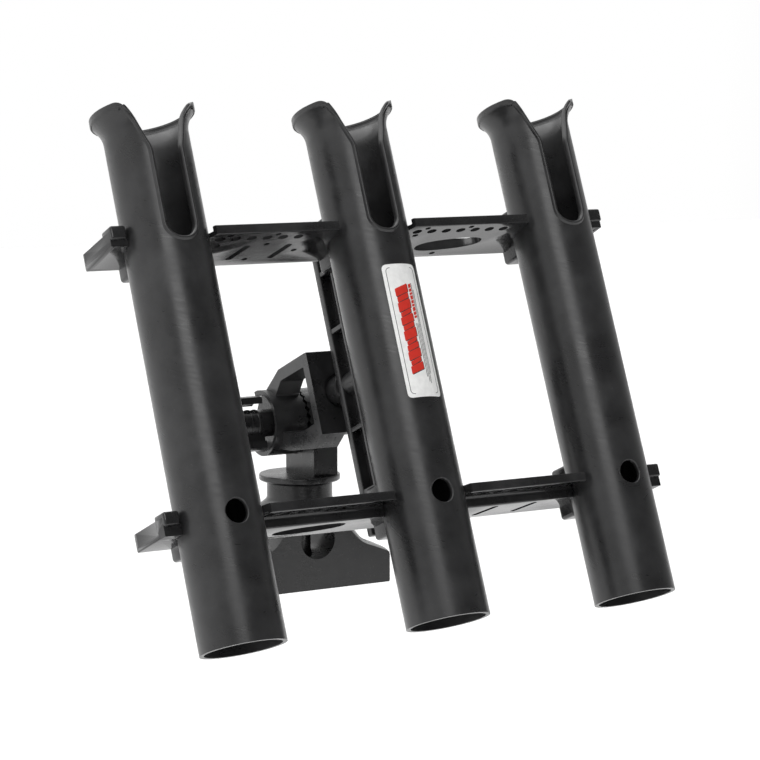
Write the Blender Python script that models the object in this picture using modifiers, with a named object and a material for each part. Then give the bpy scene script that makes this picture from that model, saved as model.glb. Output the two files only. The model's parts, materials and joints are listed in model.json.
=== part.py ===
"""Triple rod holder: three open-mouthed rod tubes in two tool shelves, on a tilting and swivelling pedestal."""

import math

import bmesh
import bpy
from mathutils import Matrix, Vector

MM = 0.001

# Rod tubes. Heights in the rack are measured along the tubes from their lower ends.
TUBE_RADIUS = 25.0 * MM
TUBE_WALL = 2.6 * MM
TUBE_LENGTH = 320.0 * MM
TUBE_PITCH = 134.0 * MM
MOUTH_RADIUS = 31.0 * MM
REEL_SLOT_HALF = 9.1 * MM
REEL_SLOT_BOTTOM = 234.4 * MM
REEL_SLOT_EDGE = (
    (9.1, 286.5),
    (9.7, 289.6),
    (14.3, 304.0),
    (16.6, 308.6),
    (18.7, 312.2),
    (21.5, 315.8),
    (25.4, 318.8),
)
DRAIN_RADIUS = 7.0 * MM
DRAIN_HEIGHT = 73.4 * MM
TUBE_X = (-TUBE_PITCH, 0.0, TUBE_PITCH)
TUBE_NAMES = ("rod_tube_left", "rod_tube_middle", "rod_tube_right")

# Shelves. Depths are measured backwards from the plane of the tube axes.
UPPER_SHELF_TOP = 246.0 * MM
LOWER_SHELF_TOP = 78.0 * MM
SHELF_HALF = 170.0 * MM
SHELF_FRONT = -14.6 * MM
SHELF_END_FRONT = -3.0 * MM
END_BLOCK_FRONT = -5.6 * MM
END_BLOCK_HIGH = 2.8 * MM
END_BLOCK_LOW = -5.3 * MM
END_BLOCK_WIDTH = 9.7 * MM
SHELF_BACK = 36.5 * MM
STRIP_BACK = 5.5 * MM
STRIP_THICK = 4.3 * MM
LIP_HEIGHT = 5.5 * MM
TRAY_DEPTH = 11.0 * MM
TRAY_WALL = 2.5 * MM
UPPER_LIP_DROP = 2.2 * MM
UPPER_FLOOR = -5.2 * MM
LUG_HALF = 16.0 * MM
LUG_ABOVE = 12.9 * MM
LUG_BELOW = 8.0 * MM
HOLE_RADIUS = 3.0 * MM
HOLE_PITCH = 10.4 * MM
HOLES_PER_BAY = 7
HOLE_ROW_SHIFT = -4.2 * MM
SLOT_LENGTH = 21.5 * MM
SLOT_WIDTH = 4.3 * MM
SLOT_SPACING = 28.0 * MM
SLOT_SKEW = math.radians(13.0)
OVAL_HALF_LENGTH = 22.5 * MM
OVAL_HALF_WIDTH = 8.2 * MM
OVAL_SKEW = math.radians(9.0)
UPPER_TOOL_ROW = 15.2 * MM
LOWER_TOOL_ROW = 18.5 * MM
BAY_CENTRE = TUBE_PITCH / 2

# Spine behind the middle tube.
SPINE_FRONT = 36.8 * MM
SPINE_BACK = 58.5 * MM
SPINE_HALF = 7.5 * MM
SPINE_FLANGE = 5.8 * MM
SPINE_FRONT_FLANGE = 3.2 * MM
SPINE_WEB_HALF = 1.6 * MM
SPINE_LOW = 66.0 * MM
SPINE_HIGH = 246.0 * MM
SPINE_RIBS = (93.0 * MM, 132.0 * MM, 195.0 * MM, 232.0 * MM)
RIB_THICK = 3.0 * MM
CLAMP_HEIGHT = 161.2 * MM
CLAMP_BOSS_RADIUS = 9.5 * MM
CLAMP_CORE_RADIUS = 7.2 * MM
CLAMP_POCKET_RADIUS = 6.1 * MM
CLAMP_BOLT_RADIUS = 4.0 * MM
SPINE_SCREW_HEIGHTS = (72.5 * MM, 239.5 * MM)
SPINE_SCREW_RADIUS = 2.2 * MM

# Tilting bracket: a plate on the spine, two arms and a hub on the tilt axis.
PLATE_FRONT = 68.8 * MM
PLATE_THICK = 6.7 * MM
PLATE_HALF = 18.7 * MM
PLATE_LOW = 135.0 * MM
PLATE_HIGH = 187.5 * MM
RECESS_RADIUS = 11.5 * MM
RECESS_DEPTH = 2.0 * MM
ARM_RIGHT = -2.0 * MM
HUB_LEFT = -23.5 * MM
HUB_RIGHT = -0.3 * MM
HUB_RADIUS = 21.0 * MM
HUB_CUP_RADIUS = 18.2 * MM
HUB_CUP_DEPTH = 8.0 * MM

# The tilt axis, in the rack and above the mounting face.
AXIS_DEPTH = 134.5 * MM
AXIS_HEIGHT = 161.2 * MM
TILT_Y = 7.5 * MM
TILT_Z = 104.5 * MM
LEAN = math.radians(23.0)

# Swivel post, knob and pedestal.
POST_LEFT = 0.3 * MM
POST_RIGHT = 17.4 * MM
POST_HALF_DEPTH = 18.5 * MM
POST_LUG_RADIUS = 20.5 * MM
DISC_RADIUS = 25.9 * MM
DISC_TOP = 71.7 * MM
DISC_BOTTOM = 67.9 * MM
STEM_RADIUS = 7.0 * MM
STEM_END = 15.5 * MM
TILT_BOLT_RADIUS = 4.0 * MM
KNOB_RADIUS = 8.7 * MM
KNOB_LEFT = -52.0 * MM
KNOB_RIM = 17.6 * MM
KNOB_RIM_INNER = 13.8 * MM
PEDESTAL_RADIUS = 58.1 * MM
PEDESTAL_HALF_DEPTH = 24.1 * MM
NECK_RADIUS = 20.9 * MM
NECK_TOP = 67.3 * MM
CROSS_BORE_RADIUS = 12.2 * MM
CROSS_BORE_HEIGHT = 32.0 * MM
STEM_POCKET_RADIUS = 15.0 * MM
STEM_POCKET_HEIGHT = 15.5 * MM
MOUNT_HOLES = ((38.0, -14.0), (38.0, 14.0), (-38.0, -14.0), (-38.0, 14.0))
MOUNT_HOLE_RADIUS = 2.7 * MM
GAP = 0.3 * MM

for old in list(bpy.data.objects):
    bpy.data.objects.remove(old, do_unlink=True)
for old in list(bpy.data.collections):
    bpy.data.collections.remove(old)

scene = bpy.context.scene
parts = bpy.data.collections.new("triple_rod_holder")
cutters = bpy.data.collections.new("cutters")
cutters.hide_render = True
scene.collection.children.link(parts)
scene.collection.children.link(cutters)


def make_material(name, colour, metallic, roughness):
    material = bpy.data.materials.new(name)
    material.use_nodes = True
    shader = material.node_tree.nodes["Principled BSDF"]
    shader.inputs["Base Color"].default_value = (*colour, 1.0)
    shader.inputs["Metallic"].default_value = metallic
    shader.inputs["Roughness"].default_value = roughness
    material.diffuse_color = (*colour, 1.0)
    return material


plastic = make_material("black_moulded_plastic", (0.022, 0.022, 0.024), 0.0, 0.42)
steel = make_material("stainless_steel", (0.55, 0.55, 0.56), 1.0, 0.32)
decal = make_material("label_film", (0.85, 0.85, 0.84), 0.0, 0.45)


def empty(name, location, rotation=(0.0, 0.0, 0.0)):
    holder = bpy.data.objects.new(name, None)
    holder.empty_display_size = 0.02
    holder.location = location
    holder.rotation_euler = rotation
    parts.objects.link(holder)
    return holder


swivel_frame = empty("swivel_axis", (0.0, 0.0, 0.0))
rack_frame = empty("tilt_axis", (0.0, TILT_Y, TILT_Z), (-LEAN, 0.0, 0.0))
rack_frame.parent = swivel_frame
knob_frame = empty("knob_axis", (0.0, 0.0, 0.0))
knob_frame.parent = rack_frame
RACK_OFFSET = Vector((0.0, -AXIS_DEPTH, -AXIS_HEIGHT))
TILT_OFFSET = Vector((0.0, TILT_Y, TILT_Z))


def finish(obj, material=plastic, parent=None, offset=None, smooth=True):
    """Puts a part in the object's collection, on its moving frame."""
    obj.data.materials.clear()
    obj.data.materials.append(material)
    if obj.name in cutters.objects:
        cutters.objects.unlink(obj)
    parts.objects.link(obj)
    obj.hide_render = False
    obj.display_type = "TEXTURED"
    if parent is not None:
        obj.parent = parent
    if offset is not None:
        obj.data.transform(Matrix.Translation(offset))
    if smooth:
        obj.data.shade_smooth()
        obj.data.set_sharp_from_angle(angle=math.radians(35.0))
    return obj


def from_bmesh(name, bm):
    bmesh.ops.recalc_face_normals(bm, faces=bm.faces)
    mesh = bpy.data.meshes.new(name)
    bm.to_mesh(mesh)
    bm.free()
    obj = bpy.data.objects.new(name, mesh)
    obj.display_type = "WIRE"
    cutters.objects.link(obj)
    return obj


def box(name, low, high, bevel=0.0, segments=2):
    """A block between two corners, with every edge rounded where a bevel is given."""
    bm = bmesh.new()
    size = Vector(high) - Vector(low)
    centre = (Vector(high) + Vector(low)) / 2
    bmesh.ops.create_cube(bm, size=1.0, matrix=Matrix.Translation(centre) @ Matrix.Diagonal((*size, 1.0)))
    if bevel:
        bmesh.ops.bevel(bm, geom=bm.edges[:], offset=bevel, segments=segments, affect="EDGES", profile=0.5)
    return from_bmesh(name, bm)


AXIS_TURN = {
    "X": Matrix.Rotation(math.radians(90.0), 4, "Y"),
    "Y": Matrix.Rotation(math.radians(-90.0), 4, "X"),
    "Z": Matrix.Identity(4),
}


def rod(name, axis, start, end, radius, segments=32, end_radius=None):
    """A solid cylinder or cone along one axis; start and end are its end centres."""
    bm = bmesh.new()
    start = Vector(start)
    end = Vector(end)
    turn = Matrix.Translation((start + end) / 2) @ AXIS_TURN[axis]
    bmesh.ops.create_cone(
        bm,
        cap_ends=True,
        segments=segments,
        radius1=radius,
        radius2=radius if end_radius is None else end_radius,
        depth=(end - start).length,
        matrix=turn,
    )
    return from_bmesh(name, bm)


def turned(name, profile, segments, closed=False):
    """A body of revolution about Z from a profile of (radius, height) points running down its outer side."""
    mesh = bpy.data.meshes.new(name)
    count = len(profile)
    edges = [(i, i + 1) for i in range(count - 1)]
    if closed:
        edges.append((count - 1, 0))
    mesh.from_pydata([(r, 0.0, z) for r, z in profile], edges, [])
    obj = bpy.data.objects.new(name, mesh)
    obj.display_type = "WIRE"
    cutters.objects.link(obj)
    screw = obj.modifiers.new("turn", "SCREW")
    screw.axis = "Z"
    screw.angle = math.tau
    screw.steps = segments
    screw.render_steps = segments
    screw.use_merge_vertices = True
    screw.merge_threshold = 0.00001
    screw.use_smooth_shade = True
    return obj


def outline(name, loops, axis_x, half_thick):
    """A flat plate cut to closed loops of (depth, height) points, standing across X at axis_x."""
    curve = bpy.data.curves.new(name, "CURVE")
    curve.dimensions = "2D"
    curve.fill_mode = "BOTH"
    curve.extrude = half_thick
    for loop in loops:
        spline = curve.splines.new("POLY")
        spline.points.add(len(loop) - 1)
        for point, (u, v) in zip(spline.points, loop):
            point.co = (u, v, 0.0, 1.0)
        spline.use_cyclic_u = True
    source = bpy.data.objects.new(name + "_curve", curve)
    cutters.objects.link(source)
    bpy.context.view_layer.update()
    mesh = bpy.data.meshes.new_from_object(source.evaluated_get(bpy.context.evaluated_depsgraph_get()))
    bpy.data.objects.remove(source)
    bm = bmesh.new()
    bm.from_mesh(mesh)
    bmesh.ops.remove_doubles(bm, verts=bm.verts, dist=0.000001)
    turn = Matrix(((0, 0, 1, axis_x), (1, 0, 0, 0), (0, 1, 0, 0), (0, 0, 0, 1)))
    bm.transform(turn)
    return from_bmesh(name, bm)


def combine(obj, others, operation):
    for index, other in enumerate(others):
        modifier = obj.modifiers.new(operation.lower() + str(index), "BOOLEAN")
        modifier.operation = operation
        modifier.solver = "EXACT"
        modifier.object = other
    return obj


def settle(obj):
    """Applies the modifiers and frees the solids they used."""
    used = {m.object for m in obj.modifiers if m.type == "BOOLEAN"}
    bpy.context.view_layer.update()
    mesh = bpy.data.meshes.new_from_object(obj.evaluated_get(bpy.context.evaluated_depsgraph_get()))
    obj.modifiers.clear()
    obj.data = mesh
    for helper in used:
        bpy.data.objects.remove(helper)
    bm = bmesh.new()
    bm.from_mesh(mesh)
    bmesh.ops.remove_doubles(bm, verts=bm.verts, dist=0.000004)
    bmesh.ops.dissolve_degenerate(bm, edges=bm.edges, dist=0.000002)
    bm.to_mesh(mesh)
    bm.free()
    return obj


def cut(obj, tools):
    return settle(combine(obj, tools, "DIFFERENCE"))


def join(obj, tools):
    return settle(combine(obj, tools, "UNION"))


def slot_cutter(name):
    """The reel slot in front of a tube: a round-ended slot that opens into a wide V at the mouth."""
    half = REEL_SLOT_HALF
    centre = REEL_SLOT_BOTTOM + REEL_SLOT_HALF
    edge = [(u * MM, v * MM) for u, v in REEL_SLOT_EDGE]
    edge.append((MOUTH_RADIUS + 1.0 * MM, TUBE_LENGTH + 0.6 * MM))
    edge.append((MOUTH_RADIUS + 1.0 * MM, TUBE_LENGTH + 3.0 * MM))
    points = [(-u, v) for u, v in edge[::-1]]
    steps = 12
    for index in range(steps + 1):
        angle = math.pi + math.pi * index / steps
        points.append((half * math.cos(angle), centre + half * math.sin(angle)))
    points += edge
    curve = outline(name, [points], 0.0, 16.0 * MM)
    curve.data.transform(Matrix.Rotation(math.radians(-90.0), 4, "Z"))
    curve.data.transform(Matrix.Translation((0.0, -18.0 * MM, 0.0)))
    return curve


def rod_tube(name, x):
    outer = TUBE_RADIUS
    inner = TUBE_RADIUS - TUBE_WALL
    lip = MOUTH_RADIUS
    top = TUBE_LENGTH
    profile = [
        (lip - 1.6 * MM, top),
        (lip - 0.3 * MM, top - 1.4 * MM),
        (lip, top - 4.2 * MM),
        (outer + 4.2 * MM, top - 6.8 * MM),
        (outer + 2.0 * MM, top - 9.9 * MM),
        (outer + 0.5 * MM, top - 14.0 * MM),
        (outer, top - 18.0 * MM),
        (outer, 0.0),
        (inner, 0.0),
        (inner, top - 18.0 * MM),
        (inner + 0.6 * MM, top - 13.0 * MM),
        (inner + 2.2 * MM, top - 8.4 * MM),
        (lip - 3.4 * MM, top - 2.8 * MM),
        (lip - 3.0 * MM, top - 0.8 * MM),
    ]
    tube = turned(name, profile, 44, closed=True)
    drain_start = (0.0, -TUBE_RADIUS - 4.0 * MM, DRAIN_HEIGHT)
    drain_end = (0.0, -TUBE_RADIUS + 8.0 * MM, DRAIN_HEIGHT)
    tools = [slot_cutter(name + "_slot"), rod(name + "_drain", "Y", drain_start, drain_end, DRAIN_RADIUS, 24)]
    cut(tube, tools)
    tube.data.transform(Matrix.Translation((x, 0.0, 0.0)))
    return finish(tube, plastic, rack_frame, RACK_OFFSET)


def upper_body(name):
    """The upper shelf before piercing: a pierced tray floor that falls slightly towards the back."""
    section = [
        (SHELF_FRONT, -UPPER_LIP_DROP),
        (SHELF_FRONT, -UPPER_LIP_DROP - LIP_HEIGHT),
        (32.0 * MM, -TRAY_DEPTH),
        (35.0 * MM, -TRAY_DEPTH + 0.6 * MM),
        (SHELF_BACK, -TRAY_DEPTH + 2.4 * MM),
        (SHELF_BACK, 0.0),
        (SHELF_BACK - TRAY_WALL, 0.0),
        (SHELF_BACK - TRAY_WALL, UPPER_FLOOR),
        (SHELF_FRONT + TRAY_WALL, UPPER_FLOOR),
        (SHELF_FRONT + TRAY_WALL, -UPPER_LIP_DROP),
    ]
    body = outline(name, [section], 0.0, SHELF_HALF)
    pieces = []
    for side in (-1, 1):
        ends = sorted((side * (SHELF_HALF - TRAY_WALL), side * SHELF_HALF))
        low = (ends[0], SHELF_END_FRONT, -TRAY_DEPTH + 2.2 * MM)
        pieces.append(box(name + f"_side{side}", low, (ends[1], SHELF_BACK - 0.01 * MM, -0.01 * MM)))
    join(body, pieces)
    trims = []
    for side in (-1, 1):
        ends = sorted((side * TUBE_PITCH, side * 0.2))
        trims.append(box(name + f"_trim{side}", (ends[0], -0.1, -0.1), (ends[1], SHELF_END_FRONT, 0.1)))
    return cut(body, trims)


def lower_body(name):
    """The lower shelf before piercing: a thin pierced strip in front of a deeper tray."""
    body = box(name, (-SHELF_HALF, 4.0 * MM, -TRAY_DEPTH), (SHELF_HALF, SHELF_BACK, 0.0), 1.6 * MM, 2)
    pieces = [
        box(name + "_strip", (-TUBE_PITCH, SHELF_FRONT, -STRIP_THICK), (TUBE_PITCH, STRIP_BACK, 0.0)),
        box(name + "_lip", (-TUBE_PITCH, SHELF_FRONT, -LIP_HEIGHT), (TUBE_PITCH, SHELF_FRONT + 2.2 * MM, 0.0)),
    ]
    join(body, pieces)
    low = (-SHELF_HALF + TRAY_WALL, 6.5 * MM, -TRAY_DEPTH + TRAY_WALL)
    return cut(body, [box(name + "_hollow", low, (SHELF_HALF - TRAY_WALL, SHELF_BACK - TRAY_WALL, 5.0 * MM))])


def prism(name, points):
    """An upright cutter with a flat outline of (across, depth) points."""
    bm = bmesh.new()
    low = [bm.verts.new((u, v, -0.05)) for u, v in points]
    high = [bm.verts.new((u, v, 0.05)) for u, v in points]
    bm.faces.new(low[::-1])
    bm.faces.new(high)
    count = len(points)
    for index in range(count):
        after = (index + 1) % count
        bm.faces.new((low[index], low[after], high[after], high[index]))
    return from_bmesh(name, bm)


def oval_cutter(name):
    """A long rounded opening, flatter along its sides than an ellipse."""
    steps = 28
    points = []
    for index in range(steps):
        angle = math.tau * index / steps
        across = math.copysign(abs(math.cos(angle)) ** 0.8, math.cos(angle))
        along = math.copysign(abs(math.sin(angle)) ** 0.8, math.sin(angle))
        points.append((OVAL_HALF_LENGTH * across, OVAL_HALF_WIDTH * along))
    return prism(name, points)


def shelf_openings(name, slots_side, tool_row, hole_row):
    """The cutters of a shelf: tube notches, the row of holes, two slots in one bay and an oval in the other."""
    tools = []
    notch = TUBE_RADIUS + GAP
    wide = notch + 1.4 * MM
    front = SHELF_FRONT - 1.0 * MM
    for x in TUBE_X:
        tools.append(rod(name + f"_tube{x:.2f}", "Z", (x, 0.0, -0.05), (x, 0.0, 0.05), notch, 44))
        inner = notch - 1.6 * MM
        mouth = [(x - wide, front), (x + wide, front), (x + inner, -8.0 * MM), (x - inner, -8.0 * MM)]
        tools.append(prism(name + f"_mouth{x:.2f}", mouth))
    for bay in (-BAY_CENTRE, BAY_CENTRE):
        for index in range(HOLES_PER_BAY):
            x = bay + HOLE_ROW_SHIFT + (index - (HOLES_PER_BAY - 1) / 2) * HOLE_PITCH
            tools.append(rod(name + "_hole", "Z", (x, hole_row, -0.03), (x, hole_row, 0.03), HOLE_RADIUS, 12))
        for step in (-2.5, 0.5):
            x = bay + HOLE_ROW_SHIFT + step * HOLE_PITCH
            y = hole_row - 4.6 * MM
            tools.append(rod(name + "_spare", "Z", (x, y, -0.03), (x, y, 0.03), HOLE_RADIUS / 2, 8))
    for offset in (-SLOT_SPACING / 2, SLOT_SPACING / 2):
        corner = (SLOT_WIDTH / 2, SLOT_LENGTH / 2, 0.03)
        slit = box(name + "_slit", [-value for value in corner], corner)
        slit.data.transform(Matrix.Rotation(SLOT_SKEW, 4, "Z"))
        slit.data.transform(Matrix.Translation((slots_side * BAY_CENTRE + offset, tool_row, 0.0)))
        tools.append(slit)
    oval = oval_cutter(name + "_oval")
    oval.data.transform(Matrix.Rotation(-OVAL_SKEW, 4, "Z"))
    oval.data.transform(Matrix.Translation((-slots_side * BAY_CENTRE - 1.5 * MM, tool_row, 0.0)))
    tools.append(oval)
    return tools


def shelf(name, top, slots_side):
    """A shelf with notches for the tubes, a front lip, a pierced floor, end blocks and lugs behind the tubes."""
    upper = top > 0.15
    body = upper_body(name) if upper else lower_body(name)
    pieces = []
    for side in (-1, 1):
        ends = sorted((side * (SHELF_HALF - END_BLOCK_WIDTH), side * (SHELF_HALF - 0.01 * MM)))
        low = (ends[0], END_BLOCK_FRONT, END_BLOCK_LOW)
        pieces.append(box(name + f"_end{side}", low, (ends[1], 7.5 * MM, END_BLOCK_HIGH), 1.0 * MM, 1))
        ends = sorted((side * TUBE_PITCH, side * (SHELF_HALF - 0.02 * MM)))
        low = (ends[0], SHELF_END_FRONT + 0.01 * MM, -9.0 * MM if upper else -TRAY_DEPTH + 0.02 * MM)
        pieces.append(box(name + f"_band{side}", low, (ends[1], 7.0 * MM, END_BLOCK_LOW + 2.0 * MM)))
    join(body, pieces)
    lugs = []
    for x in TUBE_X:
        above = -0.8 * MM if x < -0.1 else LUG_ABOVE
        low = (x - LUG_HALF, 14.0 * MM, -TRAY_DEPTH - LUG_BELOW)
        lugs.append(box(name + f"_lug{x:.2f}", low, (x + LUG_HALF, SHELF_BACK - 0.02 * MM, above), 1.2 * MM, 1))
    join(body, lugs)
    tool_row = UPPER_TOOL_ROW if upper else LOWER_TOOL_ROW
    hole_row = -6.2 * MM if upper else -1.0 * MM
    tools = shelf_openings(name, slots_side, tool_row, hole_row)
    screw = SPINE_SCREW_RADIUS + GAP
    height = SPINE_SCREW_HEIGHTS[1 if upper else 0] - top
    tools.append(rod(name + "_bore", "Y", (0.0, 28.0 * MM, height), (0.0, 40.0 * MM, height), screw, 12))
    cut(body, tools)
    body.data.transform(Matrix.Translation((0.0, 0.0, top)))
    return finish(body, plastic, rack_frame, RACK_OFFSET)


def spine():
    body = box(
        "spine",
        (-SPINE_HALF, SPINE_BACK - SPINE_FLANGE, SPINE_LOW),
        (SPINE_HALF, SPINE_BACK, SPINE_HIGH),
        0.8 * MM,
        1,
    )
    web = box(
        "spine_web",
        (-SPINE_WEB_HALF, SPINE_FRONT + 0.5 * MM, SPINE_LOW + 0.5 * MM),
        (SPINE_WEB_HALF, SPINE_BACK - 1.0 * MM, SPINE_HIGH - 0.5 * MM),
    )
    front = box(
        "spine_front",
        (-SPINE_HALF, SPINE_FRONT, SPINE_LOW),
        (SPINE_HALF, SPINE_FRONT + SPINE_FRONT_FLANGE, SPINE_HIGH),
        0.8 * MM,
        1,
    )
    pieces = [web, front]
    reach = SPINE_HALF - 0.4 * MM
    for height in SPINE_RIBS:
        low = (-reach, SPINE_FRONT + 1.0 * MM, height - RIB_THICK / 2)
        pieces.append(box("spine_rib", low, (reach, SPINE_BACK - 1.0 * MM, height + RIB_THICK / 2)))
    start = (0.0, SPINE_FRONT + 0.3 * MM, CLAMP_HEIGHT)
    end = (0.0, SPINE_BACK - 0.2 * MM, CLAMP_HEIGHT)
    pieces.append(rod("spine_core", "Y", start, end, CLAMP_CORE_RADIUS, 32))
    start = (0.0, SPINE_BACK - 0.7 * MM, CLAMP_HEIGHT)
    end = (0.0, PLATE_FRONT + RECESS_DEPTH - GAP, CLAMP_HEIGHT)
    pieces.append(rod("spine_boss", "Y", start, end, CLAMP_BOSS_RADIUS, 32))
    for height in SPINE_SCREW_HEIGHTS:
        start = (0.0, SPINE_FRONT + 0.4 * MM, height)
        end = (0.0, SPINE_BACK - 0.4 * MM, height)
        pieces.append(rod("spine_screw_boss", "Y", start, end, 5.2 * MM, 20))
    join(body, pieces)
    tools = []
    start = (0.0, SPINE_FRONT - 5.0 * MM, CLAMP_HEIGHT)
    end = (0.0, PLATE_FRONT + 10.0 * MM, CLAMP_HEIGHT)
    tools.append(rod("spine_bore", "Y", start, end, CLAMP_BOLT_RADIUS + GAP, 20))
    pocket = (0.0, SPINE_FRONT + 6.6 * MM, CLAMP_HEIGHT)
    tools.append(rod("spine_pocket", "Y", start, pocket, CLAMP_POCKET_RADIUS, 24))
    for height in SPINE_SCREW_HEIGHTS:
        start = (0.0, SPINE_FRONT - 5.0 * MM, height)
        end = (0.0, SPINE_BACK + 5.0 * MM, height)
        tools.append(rod("spine_screw_bore", "Y", start, end, SPINE_SCREW_RADIUS + GAP, 12))
    cut(body, tools)
    return finish(body, plastic, rack_frame, RACK_OFFSET)


def arc(centre, radius, first, last, steps):
    """Points of an arc about (depth, height), in degrees."""
    points = []
    for index in range(steps + 1):
        angle = math.radians(first + (last - first) * index / steps)
        points.append((centre[0] + radius * math.cos(angle), centre[1] + radius * math.sin(angle)))
    return points


def tilt_bracket():
    hub = (AXIS_DEPTH, AXIS_HEIGHT)
    front = PLATE_FRONT
    back = PLATE_FRONT + PLATE_THICK
    outside = [(front, PLATE_LOW), (front, PLATE_HIGH)]
    outside += [(front + 3.5 * MM, PLATE_HIGH + 0.3 * MM), (front + 39.0 * MM, PLATE_HIGH + 0.8 * MM)]
    outside += [(front + 48.0 * MM, PLATE_HIGH - 2.5 * MM)]
    outside += arc(hub, HUB_RADIUS, 108.0, -112.0, 20)
    outside += [(front + 42.0 * MM, PLATE_LOW + 1.0 * MM), (front + 13.5 * MM, PLATE_LOW - 5.6 * MM)]
    window = [(back, PLATE_LOW + 8.4 * MM), (back, PLATE_HIGH - 7.4 * MM)]
    window += [(front + 38.5 * MM, PLATE_HIGH - 6.6 * MM)]
    window += arc(hub, HUB_RADIUS, 143.0, 213.0, 7)
    window += [(front + 35.0 * MM, PLATE_LOW + 10.4 * MM), (front + 21.0 * MM, PLATE_LOW + 8.4 * MM)]
    middle = (-PLATE_HALF + ARM_RIGHT) / 2
    body = outline("tilt_bracket", [outside, window], middle, (ARM_RIGHT + PLATE_HALF) / 2)
    plate = box(
        "plate",
        (-PLATE_HALF, front, PLATE_LOW),
        (PLATE_HALF, back, PLATE_HIGH),
        0.0,
    )
    barrel = rod("barrel", "X", (HUB_LEFT, *hub), (HUB_RIGHT, *hub), HUB_RADIUS - 0.02 * MM, 40)
    join(body, [plate, barrel])
    tools = [
        rod("cup", "X", (HUB_LEFT - 5.0 * MM, *hub), (HUB_LEFT + HUB_CUP_DEPTH, *hub), HUB_CUP_RADIUS, 36),
        rod("hub_bore", "X", (-0.05, *hub), (0.05, *hub), TILT_BOLT_RADIUS + GAP, 24),
    ]
    start = (0.0, front - 5.0 * MM, CLAMP_HEIGHT)
    tools.append(rod("recess", "Y", start, (0.0, front + RECESS_DEPTH, CLAMP_HEIGHT), RECESS_RADIUS, 32))
    tools.append(rod("plate_bore", "Y", start, (0.0, back + 2.0 * MM, CLAMP_HEIGHT), CLAMP_BOLT_RADIUS + GAP, 20))
    low = (-0.05, AXIS_DEPTH + 1.0 * MM, AXIS_HEIGHT - 9.0 * MM)
    rear = box("rim_gap", low, (HUB_LEFT + HUB_CUP_DEPTH, AXIS_DEPTH + 0.05, AXIS_HEIGHT + 0.05))
    tools.append(rear)
    cut(body, tools)
    return finish(body, plastic, rack_frame, RACK_OFFSET)


def hexagon(name, axis, start, end, flats):
    return rod(name, axis, start, end, flats / math.sqrt(3.0), 6)


def hollowed(obj, axis, start, end, radius, segments=24):
    return cut(obj, [rod(obj.name + "_bore", axis, start, end, radius, segments)])


def clamp_bolt():
    """The carriage bolt that holds the bracket on the spine, with its washer and nut inside the window."""
    head = SPINE_FRONT + 2.0 * MM
    seat = PLATE_FRONT + PLATE_THICK
    tip = seat + 13.0 * MM
    z = CLAMP_HEIGHT
    bolt = rod("clamp_bolt", "Y", (0.0, head + 1.0 * MM, z), (0.0, tip, z), CLAMP_BOLT_RADIUS - 0.1 * MM, 20)
    join(bolt, [hexagon("clamp_head", "Y", (0.0, head, z), (0.0, head + 4.2 * MM, z), 10.0 * MM)])
    finish(bolt, steel, rack_frame, RACK_OFFSET)
    start = (0.0, seat + GAP, z)
    end = (0.0, start[1] + 1.6 * MM, z)
    washer = rod("clamp_washer", "Y", start, end, 8.0 * MM, 24)
    hollowed(washer, "Y", (0.0, seat - 0.01, z), (0.0, tip + 0.01, z), CLAMP_BOLT_RADIUS + 0.2 * MM)
    finish(washer, steel, rack_frame, RACK_OFFSET)
    start = (0.0, end[1] + GAP, z)
    nut = hexagon("clamp_nut", "Y", start, (0.0, start[1] + 6.5 * MM, z), 12.0 * MM)
    hollowed(nut, "Y", (0.0, seat - 0.01, z), (0.0, tip + 0.01, z), CLAMP_BOLT_RADIUS + 0.2 * MM)
    finish(nut, steel, rack_frame, RACK_OFFSET)


def spine_screws():
    for name, z in zip(("spine_screw_lower", "spine_screw_upper"), SPINE_SCREW_HEIGHTS):
        seat = SPINE_BACK + GAP
        screw = rod(name, "Y", (0.0, 29.0 * MM, z), (0.0, seat + 1.0 * MM, z), SPINE_SCREW_RADIUS, 12)
        head = rod("head", "Y", (0.0, seat, z), (0.0, seat + 2.6 * MM, z), 4.4 * MM, 20, 3.0 * MM)
        join(screw, [head])
        finish(screw, steel, rack_frame, RACK_OFFSET)


def label():
    """A thin film wrapped on the right of the middle tube's front."""
    inner = TUBE_RADIUS + 0.05 * MM
    outer = inner + 0.35 * MM
    low = 129.8 * MM
    high = 212.0 * MM
    first = math.radians(-22.0)
    last = math.radians(34.0)
    steps = 14
    bm = bmesh.new()
    rings = []
    for index in range(steps + 1):
        angle = first + (last - first) * index / steps
        edge = 1.8 * MM if index in (0, steps) else 0.0
        corners = ((inner, low + edge), (outer, low + edge), (outer, high - edge), (inner, high - edge))
        rings.append([bm.verts.new((r * math.sin(angle), -r * math.cos(angle), z)) for r, z in corners])
    for one, two in zip(rings, rings[1:]):
        for a in range(4):
            b = (a + 1) % 4
            bm.faces.new((one[a], one[b], two[b], two[a]))
    bm.faces.new(rings[0][::-1])
    bm.faces.new(rings[-1])
    return finish(from_bmesh("label", bm), decal, rack_frame, RACK_OFFSET)


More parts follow.
